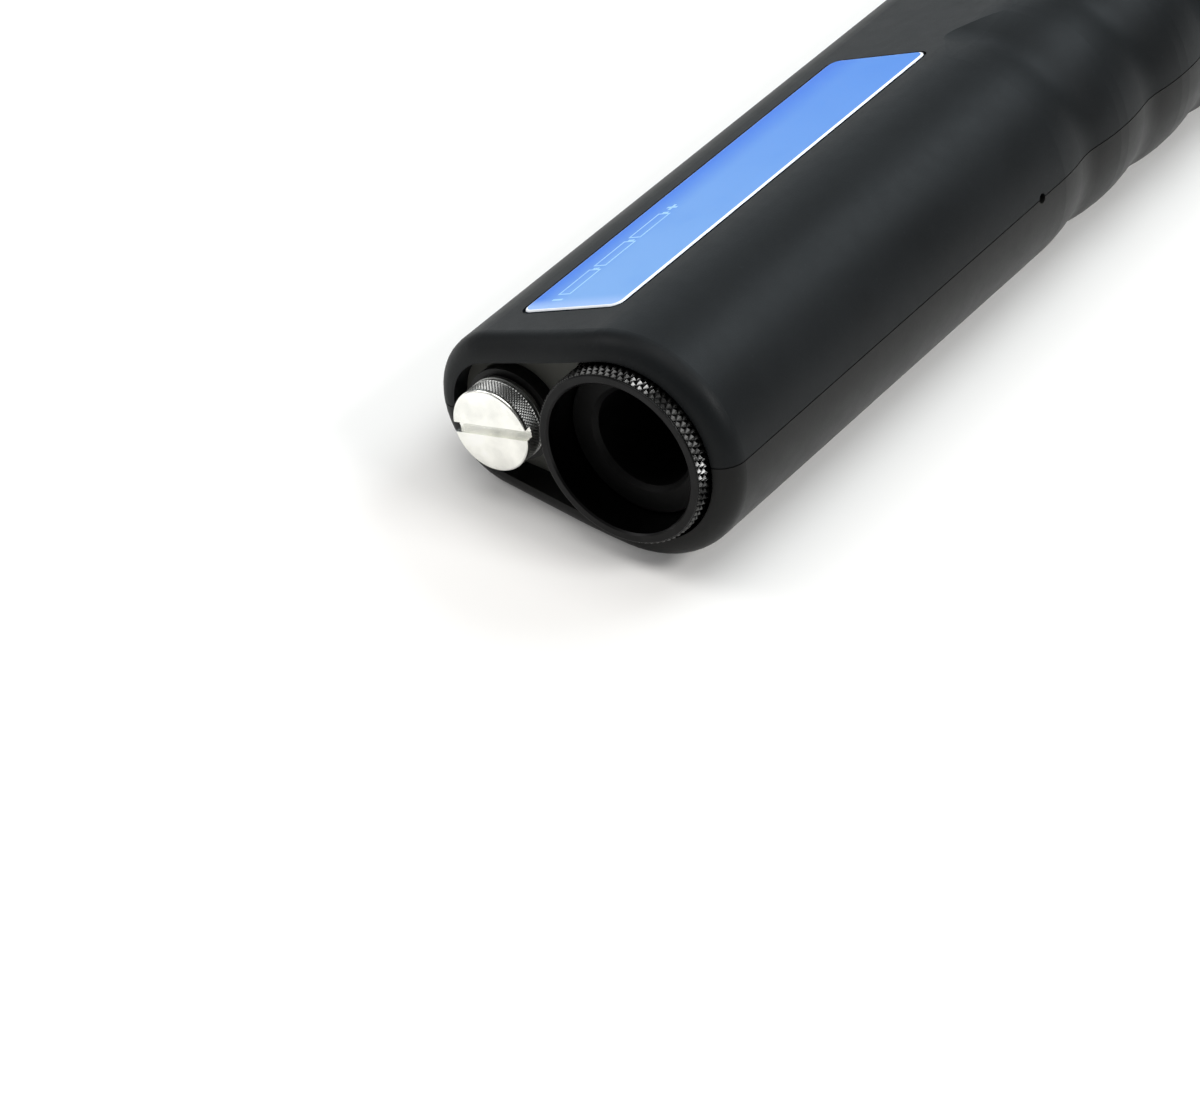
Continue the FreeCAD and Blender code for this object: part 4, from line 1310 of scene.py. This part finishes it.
@dataclass(frozen=True)
class Softbox:
    """A rectangular soft light.

    Attributes:
        name: the light's name.
        place: its middle in metres.
        size: its width and height in metres.
        radiance: brightness of its face, where 1 is the white of the picture.
        tint: colour of its light.
        aim: the point that it faces.
    """

    name: str
    place: Place
    size: Pair
    radiance: float
    tint: Colour = (1.0, 1.0, 1.0)
    aim: Place = (0.0, -0.05, 0.0)

    def build(self) -> None:
        """Add the light; its back points away from what it faces."""
        light = bpy.data.lights.new(self.name, "AREA")
        light.shape = "RECTANGLE"
        light.size, light.size_y = self.size
        light.color = self.tint
        light.energy = self.radiance * math.pi * self.size[0] * self.size[1]
        lamp = bpy.data.objects.new(self.name, light)
        back = np.array(self.place) - np.array(self.aim)
        back = back / np.linalg.norm(back)
        overhead = abs(back[2]) > 0.95
        side = np.cross((0.0, 1.0, 0.0) if overhead else (0.0, 0.0, 1.0), back)
        side = side / np.linalg.norm(side)
        lamp.matrix_world = rig_matrix(side, np.cross(back, side), back, self.place)
        bpy.context.scene.collection.objects.link(lamp)


@dataclass
class Studio:
    """Pale floor, soft light and the camera."""

    floor_half: float = 20.0
    floor_lines: int = 9
    floor_tone: Colour = (0.97, 0.952, 0.925)
    floor_fleck: float = 0.99
    floor_glow: float = 0.12
    floor_near: float = 0.3
    floor_far: float = 1.0
    sky: Colour = (0.12, 0.12, 0.12)
    boxes: tuple[Softbox, ...] = (
        Softbox("top_box", (0.0, -0.15, 1.5), (1.4, 1.4), 2.1),
        Softbox("key_box", (0.96, 0.1, 0.87), (0.34, 0.34), 20.0),
        Softbox("far_box", (0.34, 0.93, 1.04), (0.8, 0.5), 6.0, (0.9, 1.0, 1.06)),
        Softbox("rear_box", (-0.2, 0.95, 0.95), (0.9, 0.5), 1.0, (0.9, 1.0, 1.06)),
        Softbox("side_box", (-1.0, 0.95, 0.55), (0.9, 0.7), 1.4, (0.9, 1.0, 1.06)),
        Softbox("left_box", (-0.9, -0.45, 0.75), (0.5, 0.5), 4.0),
        Softbox("card_box", (-0.95, -0.95, 0.35), (1.2, 0.6), 0.6),
    )
    eye: Place = (0.3552, -0.6454, 0.4847)
    right: Place = (0.82634, 0.5628, 0.02119)
    up: Place = (-0.35632, 0.4933, 0.79349)
    forward: Place = (-0.43609, 0.6633, -0.60828)
    lens: float = 150.0
    sensor: float = 36.0

    def floor(self) -> bpy.types.Object:
        """Level floor: a square grid of points at height 0.

        Returns:
            The floor's object.
        """
        line = np.linspace(-self.floor_half, self.floor_half, self.floor_lines)
        x, y = np.meshgrid(line, line)
        points = np.stack([x, y, np.zeros_like(x)], -1)
        piece = Weave(points, loop_columns=False).piece("studio_floor")
        piece.data.materials.append(self.floor_material())
        return piece

    def floor_material(self) -> bpy.types.Material:
        """Matt paper that keeps the shadow, lifted towards white for the camera, metal and glass.

        Far from the object, where the soft boxes no longer reach, it is white.

        Returns:
            The floor's material.
        """
        graph = Graph("studio_floor_finish")
        place = graph.place()
        fibre = graph.noise(place, 30.0, 3.0)
        x, y, _ = graph.split(place)
        far = ((x * x + y * y) ** 0.5).ramp(self.floor_near, self.floor_far)
        lift = self.floor_glow + far * (1.0 - self.floor_glow)
        fleck = tuple(self.floor_fleck * part for part in self.floor_tone)
        paper = graph.node("ShaderNodeBsdfDiffuse", {}, {"Color": graph.mix(fibre, self.floor_tone, fleck)})
        white = graph.node("ShaderNodeEmission", {}, {"Color": (1.0, 1.0, 1.0), "Strength": 1.0})
        path = graph.node("ShaderNodeLightPath", output="Is Camera Ray")
        seen = path.most(path.other("Is Glossy Ray")).most(path.other("Is Transmission Ray"))
        graph.node_output(graph.node("ShaderNodeMixShader", {}, {0: seen * lift, 1: paper, 2: white}))
        return graph.material

    def light(self) -> None:
        """Even sky and the soft boxes."""
        world = bpy.data.worlds.new("studio_sky")
        world.use_nodes = True
        world.node_tree.nodes["Background"].inputs["Color"].default_value = (*self.sky, 1.0)
        bpy.context.scene.world = world
        for box in self.boxes:
            box.build()

    def camera(self) -> None:
        """Camera whose axes are the three given directions."""
        camera = bpy.data.cameras.new("viewpoint")
        camera.lens = self.lens
        camera.sensor_fit = "HORIZONTAL"
        camera.sensor_width = self.sensor
        camera.clip_start = 0.01
        rig = bpy.data.objects.new("viewpoint", camera)
        rig.matrix_world = rig_matrix(self.right, self.up, -np.array(self.forward), self.eye)
        bpy.context.scene.collection.objects.link(rig)
        bpy.context.scene.camera = rig

    def build(self) -> None:
        """Set up the view, the floor, the light and the camera."""
        bpy.context.scene.view_settings.view_transform = "Standard"
        self.floor()
        self.light()
        self.camera()


def main() -> None:
    """Load the frame, dress its solids, build the pieces that replace some, and set up the studio."""
    logging.basicConfig(level=logging.INFO, format="%(name)s %(message)s")
    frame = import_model()
    CarriedParts().dress(frame)
    for part in (FocusRing(), BatteryCap(), LabelFilm(), Eyecup()):
        piece = part.build()
        LOG.info("%s has %d faces", piece.name, len(piece.data.polygons))
    Studio().build()


if __name__ == "__main__":
    main()
